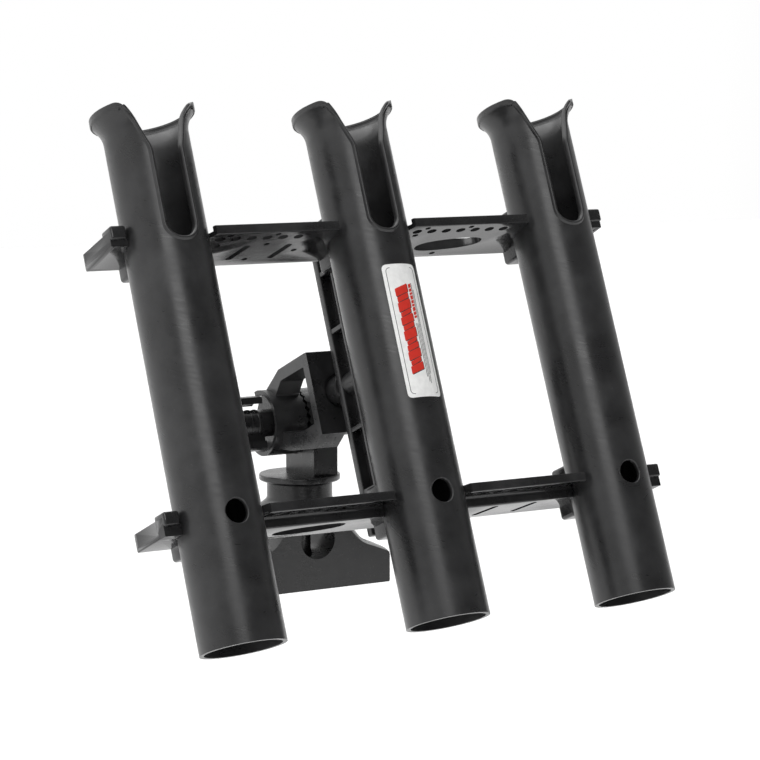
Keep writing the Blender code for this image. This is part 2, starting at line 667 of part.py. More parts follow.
def swivel_post():
    column = box(
        "swivel_post",
        (POST_LEFT, -POST_HALF_DEPTH, DISC_TOP - 1.0 * MM),
        (POST_RIGHT, POST_HALF_DEPTH, TILT_Z),
    )
    lug = rod("lug", "X", (POST_LEFT, TILT_Y, TILT_Z), (POST_RIGHT, TILT_Y, TILT_Z), POST_LUG_RADIUS, 40)
    disc = turned(
        "disc",
        [
            (0.0, DISC_TOP),
            (DISC_RADIUS - 0.8 * MM, DISC_TOP),
            (DISC_RADIUS, DISC_TOP - 0.8 * MM),
            (DISC_RADIUS, DISC_BOTTOM + 0.5 * MM),
            (DISC_RADIUS - 0.5 * MM, DISC_BOTTOM),
            (STEM_RADIUS, DISC_BOTTOM),
            (STEM_RADIUS, STEM_END),
            (0.0, STEM_END),
        ],
        40,
    )
    join(column, [lug, disc])
    tools = [rod("tilt_bore", "X", (-0.05, TILT_Y, TILT_Z), (0.05, TILT_Y, TILT_Z), TILT_BOLT_RADIUS + GAP, 24)]
    tools.append(rod("stem_bore", "Z", (0.0, 0.0, 0.0), (0.0, 0.0, 40.0 * MM), 3.0 * MM, 20))
    cut(column, tools)
    return finish(column, plastic, swivel_frame)


def stem_bolt():
    """The bolt and washer that hold the swivel stem down from below."""
    z = STEM_END - GAP
    washer = rod("stem_washer", "Z", (0.0, 0.0, z - 1.8 * MM), (0.0, 0.0, z), 12.5 * MM, 28)
    hollowed(washer, "Z", (0.0, 0.0, 0.0), (0.0, 0.0, 0.05), 3.1 * MM, 20)
    finish(washer, steel, swivel_frame)
    seat = z - 1.8 * MM - GAP
    bolt = rod("stem_bolt", "Z", (0.0, 0.0, seat - 1.0 * MM), (0.0, 0.0, 36.0 * MM), 2.7 * MM, 20)
    join(bolt, [hexagon("stem_head", "Z", (0.0, 0.0, seat - 4.6 * MM), (0.0, 0.0, seat), 10.0 * MM)])
    finish(bolt, steel, swivel_frame)


def tilt_bolt():
    """The bolt on the tilt axis, its washer on the post and the knob on its other end."""
    seat = POST_RIGHT + GAP
    washer = rod("tilt_washer", "X", (seat, 0.0, 0.0), (seat + 1.8 * MM, 0.0, 0.0), 9.0 * MM, 28)
    hollowed(washer, "X", (0.0, 0.0, 0.0), (0.05, 0.0, 0.0), TILT_BOLT_RADIUS + 0.2 * MM)
    finish(washer, steel, swivel_frame, TILT_OFFSET)
    head = seat + 1.8 * MM + GAP
    end = (KNOB_LEFT + 8.0 * MM, 0.0, 0.0)
    bolt = rod("tilt_bolt", "X", end, (head + 1.0 * MM, 0.0, 0.0), TILT_BOLT_RADIUS, 24)
    join(bolt, [hexagon("tilt_head", "X", (head, 0.0, 0.0), (head + 5.6 * MM, 0.0, 0.0), 13.0 * MM)])
    finish(bolt, steel, swivel_frame, TILT_OFFSET)


def tilt_knob():
    """The clamp knob: a round core and a cap with two bars that reach back over the hub."""
    floor = HUB_LEFT + HUB_CUP_DEPTH - GAP
    core = rod("tilt_knob", "X", (KNOB_LEFT + 2.0 * MM, 0.0, 0.0), (floor, 0.0, 0.0), KNOB_RADIUS, 32)
    cap = rod("cap", "X", (KNOB_LEFT, 0.0, 0.0), (KNOB_LEFT + 7.0 * MM, 0.0, 0.0), KNOB_RIM, 36)
    join(core, [cap])
    bar_end = HUB_LEFT - 1.0 * MM
    start = (KNOB_LEFT + 3.0 * MM, 0.0, 0.0)
    skirt = rod("skirt", "X", start, (bar_end, 0.0, 0.0), KNOB_RIM - 0.01 * MM, 36)
    hollow = rod("skirt_hollow", "X", (start[0] - 0.01, 0.0, 0.0), (bar_end + 0.01, 0.0, 0.0), KNOB_RIM_INNER, 36)
    cut(skirt, [hollow])
    reach = 40.0 * MM
    keep = box("keep", (-0.08, -7.0 * MM, -reach), (0.0, 7.0 * MM, reach))
    settle(combine(skirt, [keep], "INTERSECT"))
    low = (KNOB_LEFT + 3.0 * MM, -5.0 * MM, -KNOB_RIM + 1.0 * MM)
    join(skirt, [box("fin", low, (bar_end - 0.01 * MM, 5.0 * MM, 0.0))])
    skirt.data.transform(Matrix.Rotation(math.radians(-14.0), 4, "X"))
    join(core, [skirt])
    end = (floor + 5.0 * MM, 0.0, 0.0)
    hollowed(core, "X", (KNOB_LEFT + 7.0 * MM, 0.0, 0.0), end, TILT_BOLT_RADIUS + GAP)
    return finish(core, plastic, knob_frame)


def pedestal():
    profile = [
        (0.0, NECK_TOP),
        (NECK_RADIUS - 1.2 * MM, NECK_TOP),
        (NECK_RADIUS, NECK_TOP - 1.2 * MM),
        (NECK_RADIUS, 56.6 * MM),
        (NECK_RADIUS + 1.2 * MM, 54.9 * MM),
        (25.2 * MM, 52.4 * MM),
        (28.9 * MM, 46.5 * MM),
        (32.0 * MM, 40.0 * MM),
        (35.3 * MM, 34.2 * MM),
        (41.0 * MM, 27.6 * MM),
        (49.8 * MM, 23.4 * MM),
        (56.4 * MM, 20.4 * MM),
        (PEDESTAL_RADIUS, 18.6 * MM),
        (PEDESTAL_RADIUS, 0.0),
        (0.0, 0.0),
    ]
    body = turned("pedestal_base", profile, 48)
    reach = 0.1
    depth = PEDESTAL_HALF_DEPTH
    tools = [
        box("front_cut", (-reach, -reach, -0.01), (reach, -depth, reach)),
        box("back_cut", (-reach, depth, -0.01), (reach, reach, reach)),
        rod("stem_hole", "Z", (0.0, 0.0, -0.01), (0.0, 0.0, reach), STEM_RADIUS + GAP, 28),
    ]
    cut(body, tools)
    tools = [rod("stem_pocket", "Z", (0.0, 0.0, -0.01), (0.0, 0.0, STEM_POCKET_HEIGHT), STEM_POCKET_RADIUS, 32)]
    cut(body, tools)
    height = CROSS_BORE_HEIGHT
    tools = []
    tools.append(rod("cross_bore", "Y", (0.0, -0.05, height), (0.0, 0.05, height), CROSS_BORE_RADIUS, 30))
    for x, y in MOUNT_HOLES:
        start = (x * MM, y * MM, -0.01)
        tools.append(rod("mount_hole", "Z", start, (x * MM, y * MM, reach), MOUNT_HOLE_RADIUS, 16))
    cut(body, tools)
    return finish(body, plastic)


for tube_name, tube_x in zip(TUBE_NAMES, TUBE_X):
    rod_tube(tube_name, tube_x)
shelf("upper_shelf", UPPER_SHELF_TOP, -1)
shelf("lower_shelf", LOWER_SHELF_TOP, 1)
spine()
tilt_bracket()
clamp_bolt()
spine_screws()
label()
swivel_post()
stem_bolt()
tilt_bolt()
tilt_knob()
pedestal()
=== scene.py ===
"""Looks of the triple rod holder: black moulded plastic, steel fasteners and a white label."""

import json
import math

import bmesh
import bpy
import numpy as np
from mathutils import Matrix, Vector


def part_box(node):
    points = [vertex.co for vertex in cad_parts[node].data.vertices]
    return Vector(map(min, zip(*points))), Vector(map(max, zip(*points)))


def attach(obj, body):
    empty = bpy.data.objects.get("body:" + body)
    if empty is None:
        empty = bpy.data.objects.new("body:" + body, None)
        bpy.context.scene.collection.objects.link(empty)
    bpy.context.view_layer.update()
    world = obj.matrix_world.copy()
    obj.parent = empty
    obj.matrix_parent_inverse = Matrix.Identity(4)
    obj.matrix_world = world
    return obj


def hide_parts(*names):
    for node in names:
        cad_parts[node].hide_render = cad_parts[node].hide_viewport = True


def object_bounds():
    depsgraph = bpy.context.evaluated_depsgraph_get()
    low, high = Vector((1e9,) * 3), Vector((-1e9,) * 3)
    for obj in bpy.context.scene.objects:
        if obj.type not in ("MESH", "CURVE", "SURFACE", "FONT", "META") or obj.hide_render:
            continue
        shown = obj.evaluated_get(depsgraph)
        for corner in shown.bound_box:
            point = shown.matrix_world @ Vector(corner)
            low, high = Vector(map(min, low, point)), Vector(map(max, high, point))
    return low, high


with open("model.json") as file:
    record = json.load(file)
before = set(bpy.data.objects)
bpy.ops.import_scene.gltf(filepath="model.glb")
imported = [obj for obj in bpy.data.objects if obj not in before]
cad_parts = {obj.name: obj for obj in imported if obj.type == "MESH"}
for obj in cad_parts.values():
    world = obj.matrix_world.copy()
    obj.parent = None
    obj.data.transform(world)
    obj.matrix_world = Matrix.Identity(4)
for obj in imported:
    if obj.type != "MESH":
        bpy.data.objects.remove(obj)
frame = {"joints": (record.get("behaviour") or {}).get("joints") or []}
cad_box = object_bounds()

MM = 0.001
scene = bpy.context.scene
joints = {joint["name"]: joint for joint in frame["joints"]}

# The rack is modelled upright, with heights measured up the tubes, and then leant back about the tilt axis.
TILT = Vector(joints["rack_tilt"]["pos_m"])
LEAN = math.radians(joints["rack_tilt"]["range_deg"][1])
AXIS_DEPTH = 134.5 * MM
AXIS_HEIGHT = 161.2 * MM
RACK = (
    Matrix.Translation(TILT)
    @ Matrix.Rotation(-LEAN, 4, "X")
    @ Matrix.Translation((0.0, -AXIS_DEPTH, -AXIS_HEIGHT))
)
ON_TILT = Matrix.Translation(TILT)
HERE = Matrix.Identity(4)


def centre_x(node):
    low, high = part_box(node)
    return (low.x + high.x) / 2


TUBE_NODES = ("rod_tube_left", "rod_tube_middle", "rod_tube_right")
TUBE_X = [centre_x(node) for node in TUBE_NODES]
BAY_X = [(a + b) / 2 for a, b in zip(TUBE_X, TUBE_X[1:])]

# Tubes.
TUBE_RADIUS = 25.0 * MM
TUBE_WALL = 2.6 * MM
TUBE_LENGTH = 320.0 * MM
FLARE_START = 302.0 * MM
FLARE_END = 315.6 * MM
FLARE = 6.0 * MM
SLOT_HALF = 9.1 * MM
SLOT_BOTTOM = 234.4 * MM
SLOT_KNEE = 289.2 * MM
DRAIN_HEIGHT = 73.4 * MM
DRAIN_RADIUS = 7.0 * MM

# Shelves.
SHELF_TOPS = {"upper_shelf": 246.0 * MM, "lower_shelf": 78.0 * MM}
SHELF_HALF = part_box("upper_shelf")[1].x
SHELF_FRONT = -14.6 * MM
SHELF_END_FRONT = -3.0 * MM
SHELF_BACK = 36.5 * MM
STRIP_THICK = 4.3 * MM
LIP_HEIGHT = 5.5 * MM
UPPER_LIP_DROP = 2.2 * MM
UPPER_FLOOR = -5.2 * MM
TRAY_FRONT = 4.0 * MM
TRAY_DEPTH = 11.0 * MM
TRAY_WALL = 2.5 * MM
END_BLOCK_FRONT = -5.6 * MM
END_BLOCK_HIGH = 2.8 * MM
END_BLOCK_LOW = -5.3 * MM
END_BLOCK_WIDTH = 9.7 * MM
LUG_ABOVE = 12.9 * MM
NOTCH_RADIUS = 25.3 * MM
HOLE_RADIUS = 3.0 * MM
HOLE_PITCH = 10.4 * MM
HOLE_ROW_SHIFT = -4.2 * MM
HOLE_ROWS = {"upper_shelf": -6.2 * MM, "lower_shelf": -1.0 * MM}
TOOL_ROWS = {"upper_shelf": 15.2 * MM, "lower_shelf": 18.5 * MM}
SPARE_RADIUS = 1.8 * MM
PIN_RADIUS = 1.9 * MM
SLIT_HALF_WIDTH = 2.15 * MM
SLIT_HALF_LENGTH = 10.7 * MM
SLIT_OFFSET = 14.0 * MM
SLIT_SKEW = math.radians(13.0)
OVAL_HALF = (22.5 * MM, 8.2 * MM)
OVAL_SKEW = math.radians(-9.0)
LUG_HALF = 16.0 * MM
LUG_FRONT = 14.0 * MM
LUG_LOW = -19.0 * MM
PIN_HOLES = {
    "upper_shelf": ((-99.8, 3.7), (-67.2, 3.7), (-71.8, 25.5), (-43.8, 14.4), (33.2, -0.5), (61.3, 28.8)),
    "lower_shelf": (),
}

# Spine and bracket.
SPINE_FRONT = 36.8 * MM
SPINE_BACK = 58.5 * MM
SPINE_HALF = 7.5 * MM
SPINE_LOW = 66.0 * MM
SPINE_HIGH = 246.0 * MM
SPINE_RIBS = (93.0 * MM, 132.0 * MM, 195.0 * MM, 232.0 * MM)
CLAMP_HEIGHT = 161.2 * MM
SCREW_HEIGHTS = (72.5 * MM, 239.5 * MM)
PLATE_FRONT = 68.8 * MM
PLATE_BACK = 75.5 * MM
PLATE_HALF = 18.7 * MM
PLATE_LOW = 135.0 * MM
PLATE_HIGH = 187.5 * MM
ARM_RIGHT = -2.0 * MM
HUB_LEFT = -23.5 * MM
HUB_RADIUS = 21.0 * MM
CUP_RADIUS = 18.2 * MM
CUP_DEPTH = 8.0 * MM
TOOTH_DEPTH = 1.5 * MM

# Post, knob and pedestal, in the row frame.
POST_RIGHT = 17.4 * MM
POST_HALF_DEPTH = 18.5 * MM
LUG_RADIUS = 20.5 * MM
DISC_RADIUS = 25.9 * MM
DISC_TOP = 71.7 * MM
DISC_BOTTOM = 67.9 * MM
STEM_RADIUS = 7.0 * MM
STEM_END = 15.5 * MM
BOLT_RADIUS = 4.0 * MM
KNOB_LEFT = -52.0 * MM
KNOB_CORE = 8.7 * MM
KNOB_RIM = 17.6 * MM
KNOB_INNER = 13.8 * MM
BASE_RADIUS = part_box("pedestal_base")[1].x
BASE_HALF_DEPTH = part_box("pedestal_base")[1].y
NECK_RADIUS = 20.9 * MM
NECK_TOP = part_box("pedestal_base")[1].z
BORE_RADIUS = 12.2 * MM
BORE_HEIGHT = 32.0 * MM
MOUNT_HOLES = ((-38.0, -14.0), (-38.0, 14.0), (38.0, -14.0), (38.0, 14.0))
TEETH = 26
GAP = 0.3 * MM


# ---- materials


def shader_of(name):
    material = bpy.data.materials.new(name)
    material.use_nodes = True
    return material, material.node_tree, material.node_tree.nodes["Principled BSDF"]


def add(tree, kind, **values):
    node = tree.nodes.new(kind)
    for key, value in values.items():
        if key in node.inputs:
            node.inputs[key].default_value = value
        else:
            setattr(node, key, value)
    return node


def stretched(tree, scale, turn=0.0):
    """Object coordinates turned back about X and stretched, so a grain can follow a direction."""
    place = add(tree, "ShaderNodeTexCoord")
    turned_back = add(tree, "ShaderNodeMapping", vector_type="TEXTURE")
    turned_back.inputs["Rotation"].default_value = (turn, 0.0, 0.0)
    sized = add(tree, "ShaderNodeMapping")
    sized.inputs["Scale"].default_value = scale
    tree.links.new(place.outputs["Object"], turned_back.inputs["Vector"])
    tree.links.new(turned_back.outputs["Vector"], sized.inputs["Vector"])
    return sized.outputs["Vector"]


def noise(tree, vector, scale, detail=3.0, roughness=0.55):
    node = add(tree, "ShaderNodeTexNoise", Scale=scale, Detail=detail, Roughness=roughness)
    tree.links.new(vector, node.inputs["Vector"])
    return node.outputs["Fac"]


def ranged(tree, value, low, high, start=0.0, end=1.0):
    node = add(tree, "ShaderNodeMapRange")
    for name, number in zip(("From Min", "From Max", "To Min", "To Max"), (start, end, low, high)):
        node.inputs[name].default_value = number
    tree.links.new(value, node.inputs["Value"])
    return node.outputs["Result"]


def math_node(tree, operation, one, two):
    node = add(tree, "ShaderNodeMath", operation=operation)
    for socket, value in zip(node.inputs, (one, two)):
        if isinstance(value, float):
            socket.default_value = value
        else:
            tree.links.new(value, socket)
    return node.outputs["Value"]


def mixed(tree, factor, one, two):
    node = add(tree, "ShaderNodeMix", data_type="RGBA")
    colours = [socket for socket in node.inputs if socket.type == "RGBA"]
    tree.links.new(factor, node.inputs["Factor"])
    for socket, value in zip(colours, (one, two)):
        if isinstance(value, tuple):
            socket.default_value = (*value, 1.0)
        else:
            tree.links.new(value, socket)
    return [socket for socket in node.outputs if socket.type == "RGBA"][0]


def bumped(tree, shader, height, strength, distance):
    node = add(tree, "ShaderNodeBump", Strength=strength, Distance=distance)
    tree.links.new(height, node.inputs["Height"])
    tree.links.new(node.outputs["Normal"], shader.inputs["Normal"])


def moulded_plastic(name, colour, gloss, grain_scale, turn=0.0, dust=0.5, relief_strength=0.2):
    """Black moulded plastic: flow streaks, fine grain, smudges in the gloss and a little pale dust."""
    material, tree, shader = shader_of(name)
    shader.inputs["Specular IOR Level"].default_value = 0.5
    grain = noise(tree, stretched(tree, grain_scale, turn), 1.0, 3.0, 0.6)
    even = stretched(tree, (1.0, 1.0, 1.0), turn)
    smudge = noise(tree, even, 38.0, 4.0, 0.6)
    pores = noise(tree, even, 2600.0, 2.0, 0.5)
    specks = noise(tree, even, 900.0, 2.0, 0.5)
    streaks = ranged(tree, grain, -0.04, 0.05, 0.3, 0.7)
    clouds = ranged(tree, smudge, gloss - 0.05, gloss + 0.07, 0.3, 0.7)
    tree.links.new(math_node(tree, "ADD", streaks, clouds), shader.inputs["Roughness"])
    pale = tuple(min(1.0, c * 1.7 + 0.006) for c in colour)
    tone = mixed(tree, ranged(tree, smudge, 0.0, 1.0, 0.42, 0.75), colour, pale)
    powder = ranged(tree, specks, 0.0, dust, 0.70, 0.78)
    tree.links.new(mixed(tree, powder, tone, (0.16, 0.16, 0.155)), shader.inputs["Base Color"])
    flow = math_node(tree, "MULTIPLY", grain, 1.0)
    relief = math_node(tree, "ADD", flow, math_node(tree, "MULTIPLY", pores, 0.35))
    bumped(tree, shader, relief, relief_strength, 0.00012)
    return material


def turned_steel(name, colour, rough, grain_scale, turn=0.0):
    """Stainless steel with fine turning marks and a few dull patches."""
    material, tree, shader = shader_of(name)
    shader.inputs["Metallic"].default_value = 1.0
    grain = noise(tree, stretched(tree, grain_scale, turn), 1.0, 4.0, 0.6)
    patches = noise(tree, stretched(tree, (1.0, 1.0, 1.0), turn), 260.0, 3.0, 0.55)
    lines = ranged(tree, grain, -0.06, 0.08, 0.3, 0.7)
    dull = ranged(tree, patches, rough - 0.05, rough + 0.12, 0.35, 0.75)
    tree.links.new(math_node(tree, "ADD", lines, dull), shader.inputs["Roughness"])
    dark = tuple(c * 0.72 for c in colour)
    tone = mixed(tree, ranged(tree, patches, 0.0, 1.0, 0.4, 0.8), colour, dark)
    tree.links.new(tone, shader.inputs["Base Color"])
    bumped(tree, shader, grain, 0.25, 0.00006)
    return material


def printed_film(name, colour, rough):
    """A thin printed film: faint mottling in the ink and a soft orange-peel surface."""
    material, tree, shader = shader_of(name)
    even = stretched(tree, (1.0, 1.0, 1.0), LEAN)
    mottle = noise(tree, even, 300.0, 3.0, 0.5)
    peel = noise(tree, even, 1100.0, 2.0, 0.5)
    shade = tuple(c * 0.88 for c in colour)
    tone = mixed(tree, ranged(tree, mottle, 0.0, 1.0, 0.35, 0.75), colour, shade)
    tree.links.new(tone, shader.inputs["Base Color"])
    tree.links.new(ranged(tree, peel, rough - 0.06, rough + 0.08, 0.3, 0.7), shader.inputs["Roughness"])
    bumped(tree, shader, peel, 0.2, 0.00005)
    return material


BLACK = (0.013, 0.013, 0.0135)
tube_plastic = moulded_plastic("tube_plastic", BLACK, 0.31, (90.0, 90.0, 900.0), LEAN, 0.2)
SATIN = (0.014, 0.014, 0.0145)
DARK = (0.011, 0.011, 0.0115)
# The pedestal's black is darker than the other blacks: painted shade, for its front standing in the rack's
# shade.
SHADED_BASE_BLACK = (0.007, 0.007, 0.0073)
KNOB_BLACK = (0.010, 0.010, 0.0105)
shelf_plastic = moulded_plastic("shelf_plastic", SATIN, 0.15, (60.0, 500.0, 500.0), LEAN, 0.25, 0.12)
bracket_plastic = moulded_plastic("bracket_plastic", DARK, 0.28, (180.0, 180.0, 320.0), LEAN, 0.4)
post_plastic = moulded_plastic("post_plastic", DARK, 0.28, (300.0, 300.0, 120.0), 0.0, 0.5)
# The pedestal's plastic carries painted shade in its darker base colour.
base_plastic = moulded_plastic("base_plastic", SHADED_BASE_BLACK, 0.28, (120.0, 120.0, 420.0), 0.0, 0.4)
knob_plastic = moulded_plastic("knob_plastic", KNOB_BLACK, 0.28, (900.0, 150.0, 150.0), LEAN, 0.3)
bolt_steel = turned_steel("bolt_steel", (0.62, 0.62, 0.63), 0.26, (500.0, 500.0, 500.0))
washer_steel = turned_steel("washer_steel", (0.55, 0.55, 0.56), 0.34, (900.0, 300.0, 900.0))
label_white = printed_film("label_white", (0.86, 0.86, 0.85), 0.38)
label_red = printed_film("label_red", (0.62, 0.030, 0.018), 0.36)
label_ink = printed_film("label_ink", (0.035, 0.035, 0.038), 0.40)


# ---- mesh helpers


def link(name, mesh):
    obj = bpy.data.objects.new(name, mesh)
    scene.collection.objects.link(obj)
    return obj


def from_bmesh(name, bm):
    bmesh.ops.recalc_face_normals(bm, faces=bm.faces)
    mesh = bpy.data.meshes.new(name)
    bm.to_mesh(mesh)
    bm.free()
    return link(name, mesh)


def block(low, high, bevel=0.0, segments=3):
    """A block between two corners with rounded edges."""
    bm = bmesh.new()
    size = Vector(high) - Vector(low)
    place = Matrix.Translation((Vector(high) + Vector(low)) / 2) @ Matrix.Diagonal((*size, 1.0))
    bmesh.ops.create_cube(bm, size=1.0, matrix=place)
    if bevel:
        bmesh.ops.bevel(bm, geom=bm.edges[:], offset=bevel, segments=segments, affect="EDGES", profile=0.5)
    return from_bmesh("block", bm)


AXIS_TURN = {
    "X": Matrix.Rotation(math.radians(90.0), 4, "Y"),
    "Y": Matrix.Rotation(math.radians(-90.0), 4, "X"),
    "Z": Matrix.Identity(4),
}


def loft(name, bm, rings):
    """Joins the last ring to the first as well, so the result is a closed loop of equal sections."""
    size = len(rings[0])
    for one, two in zip(rings, rings[1:] + rings[:1]):
        for k in range(size):
            bm.faces.new((one[k], one[(k + 1) % size], two[(k + 1) % size], two[k]))
    return from_bmesh(name, bm)


def revolved(axis, centre, profile, segments=96):
    """A solid of revolution about an axis through centre, from (radius, distance along the axis) points."""
    bm = bmesh.new()
    turn = Matrix.Translation(centre) @ AXIS_TURN[axis]
    rings = []
    for radius, along in profile:
        if radius < 1e-7:
            rings.append([bm.verts.new(turn @ Vector((0.0, 0.0, along)))])
            continue
        ring = []
        for index in range(segments):
            angle = math.tau * index / segments
            point = Vector((radius * math.cos(angle), radius * math.sin(angle), along))
            ring.append(bm.verts.new(turn @ point))
        rings.append(ring)
    pairs = list(zip(rings, rings[1:]))
    if len(rings[0]) > 1 or len(rings[-1]) > 1:
        pairs.append((rings[-1], rings[0]))
    for one, two in pairs:
        for index in range(segments):
            after = (index + 1) % segments
            corners = [one[index % len(one)], one[after % len(one)]]
            corners += [two[after % len(two)], two[index % len(two)]]
            corners = list(dict.fromkeys(corners))
            if len(corners) > 2:
                bm.faces.new(corners)
    return from_bmesh("revolved", bm)


def span(axis, low, high, at):
    """Where a stretch along an axis starts, and its length. The other two coordinates are in at."""
    index = "XYZ".index(axis)
    start = Vector((*at[:index], low, *at[index:]))
    end = Vector((*at[:index], high, *at[index:]))
    return start, (end - start).length


def rod(axis, low, high, radius, segments=48, at=(0.0, 0.0), edge=0.0):
    """A cylinder along an axis, with small chamfers of size edge at both ends."""
    start, length = span(axis, low, high, at)
    profile = [(0.0, 0.0), (radius, 0.0), (radius, length), (0.0, length)]
    if edge:
        rim = radius - edge
        profile[1:3] = [(rim, 0.0), (radius, edge), (radius, length - edge), (rim, length)]
    return revolved(axis, start, profile, segments)


def arc(centre, radius, first, last, steps):
    angles = [math.radians(first + (last - first) * index / steps) for index in range(steps + 1)]
    return [(centre[0] + radius * math.cos(a), centre[1] + radius * math.sin(a)) for a in angles]


def rounded(points, radius, steps=6, closed=True):
    """The outline with its corners turned into short curves."""
    result = []
    count = len(points)
    for index, point in enumerate(points):
        here = Vector(point)
        if not closed and index in (0, count - 1):
            result.append(tuple(here))
            continue
        before = Vector(points[index - 1]) - here
        after = Vector(points[(index + 1) % count]) - here
        reach = min(radius, before.length * 0.48, after.length * 0.48)
        start = here + before.normalized() * reach
        end = here + after.normalized() * reach
        for step in range(steps + 1):
            t = step / steps
            result.append(tuple(start * (1 - t) ** 2 + here * 2 * t * (1 - t) + end * t**2))
    return result


ACROSS = Matrix(((0, 0, 1, 0), (1, 0, 0, 0), (0, 1, 0, 0), (0, 0, 0, 1)))


def plate(loops, low, high, across=True):
    """A plate cut to closed loops. It stands across X, or lies flat if across is False."""
    curve = bpy.data.curves.new("plate", "CURVE")
    curve.dimensions = "2D"
    curve.fill_mode = "BOTH"
    curve.extrude = (high - low) / 2
    for loop in loops:
        spline = curve.splines.new("POLY")
        spline.points.add(len(loop) - 1)
        for point, (u, v) in zip(spline.points, loop):
            point.co = (u, v, 0.0, 1.0)
        spline.use_cyclic_u = True
    source = bpy.data.objects.new("plate_curve", curve)
    scene.collection.objects.link(source)
    bpy.context.view_layer.update()
    mesh = bpy.data.meshes.new_from_object(source.evaluated_get(bpy.context.evaluated_depsgraph_get()))
    bpy.data.objects.remove(source)
    bm = bmesh.new()
    bm.from_mesh(mesh)
    bmesh.ops.remove_doubles(bm, verts=bm.verts, dist=0.001 * MM)
    bm.transform(Matrix.Translation((0.0, 0.0, (low + high) / 2)))
    if across:
        bm.transform(ACROSS)
    return from_bmesh("plate", bm)


def combine(obj, others, operation):
    for index, other in enumerate(others):
        modifier = obj.modifiers.new(str(index), "BOOLEAN")
        modifier.operation = operation
        modifier.solver = "EXACT"
        modifier.object = other
    return applied(obj, others)


def applied(obj, helpers=()):
    bpy.context.view_layer.update()
    mesh = bpy.data.meshes.new_from_object(obj.evaluated_get(bpy.context.evaluated_depsgraph_get()))
    obj.modifiers.clear()
    obj.data = mesh
    for helper in helpers:
        bpy.data.objects.remove(helper)
    return obj


def cut(obj, *tools):
    return combine(obj, tools, "DIFFERENCE")


def join(obj, *pieces):
    return combine(obj, pieces, "UNION")


def gather(obj, *pieces):
    """Several separate shells as one mesh."""
    bm = bmesh.new()
    bm.from_mesh(obj.data)
    for piece in pieces:
        bm.from_mesh(piece.data)
        bpy.data.objects.remove(piece)
    bm.to_mesh(obj.data)
    bm.free()
    return obj


def eased(obj, width, angle=40.0, segments=2):
    """Rounds every sharp edge a little."""
    modifier = obj.modifiers.new("edges", "BEVEL")
    modifier.width = width
    modifier.segments = segments
    modifier.limit_method = "ANGLE"
    modifier.angle_limit = math.radians(angle)
    modifier.use_clamp_overlap = True
    modifier.miter_outer = "MITER_ARC"
    return applied(obj)


def moved(obj, matrix):
    obj.data.transform(matrix)
    return obj


def piece(obj, name, place, material, body, nodes, slot, sharp):
    """Names the piece, puts it in the row frame, ties it to its body, hides its CAD nodes and gives it its
    finish.
    """
    obj.name = name
    obj.data.name = name
    obj.data.transform(place)
    obj.data.materials.clear()
    obj.data.materials.append(material)
    obj.data.shade_smooth()
    obj.data.set_sharp_from_angle(angle=math.radians(sharp))
    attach(obj, body)
    if nodes:
        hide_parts(*nodes)
    return obj


def look(obj, node, material, place=RACK, body="rack", slot="plastic", sharp=30.0):
    """The looks of one CAD node."""
    return piece(obj, node + "_look", place, material, body, [node], slot, sharp)


# ---- tubes


def outer_radius(height):
    """The tube's outside: straight, then flaring to the mouth."""
    t = np.clip((height - FLARE_START) / (FLARE_END - FLARE_START), 0.0, 1.0)
    return TUBE_RADIUS + FLARE * t**2.3


def around_tube(angle, radius, height):
    return Vector((radius * math.sin(angle), -radius * math.cos(angle), height))


def on_tube(angle, height):
    return around_tube(angle, float(outer_radius(height)), height)


def outward(angle, height):
    """The outside's normal at a point."""
    step = 0.2 * MM
    slope = float(outer_radius(height + step) - outer_radius(height - step)) / (2 * step)
    return Vector((math.sin(angle), -math.cos(angle), -slope)).normalized()


RIM_HEIGHT = TUBE_LENGTH - 1.3 * MM


def opening_edge():
    """The right half of the sheet's front edge as (angle, height), from the slot's bottom to the ear."""
    bottom = []
    for index in range(13):
        turn = math.radians(90.0 * index / 12)
        across = SLOT_HALF * math.sin(turn)
        height = SLOT_BOTTOM + SLOT_HALF * (1 - math.cos(turn))
        bottom.append((math.asin(across / TUBE_RADIUS) * TUBE_RADIUS, height))
    side = bottom[-1][0]
    slope = (13.2 * MM, 300.0 * MM)
    knee = rounded([bottom[-1], (side, SLOT_KNEE), slope], 3.0 * MM, 5, closed=False)
    ear = [slope, (17.0 * MM, 310.5 * MM), (21.0 * MM, RIM_HEIGHT), (32.0 * MM, RIM_HEIGHT)]
    upper = knee + rounded(ear, 7.0 * MM, 9, closed=False)[1:]
    points = bottom + [p for p in upper if p[1] > bottom[-1][1] + 0.5 * MM]
    return [(u / TUBE_RADIUS, z) for u, z in points]


EDGE = opening_edge()


def edge_angle(height):
    return float(np.interp(height, [z for _, z in EDGE], [angle for angle, _ in EDGE]))


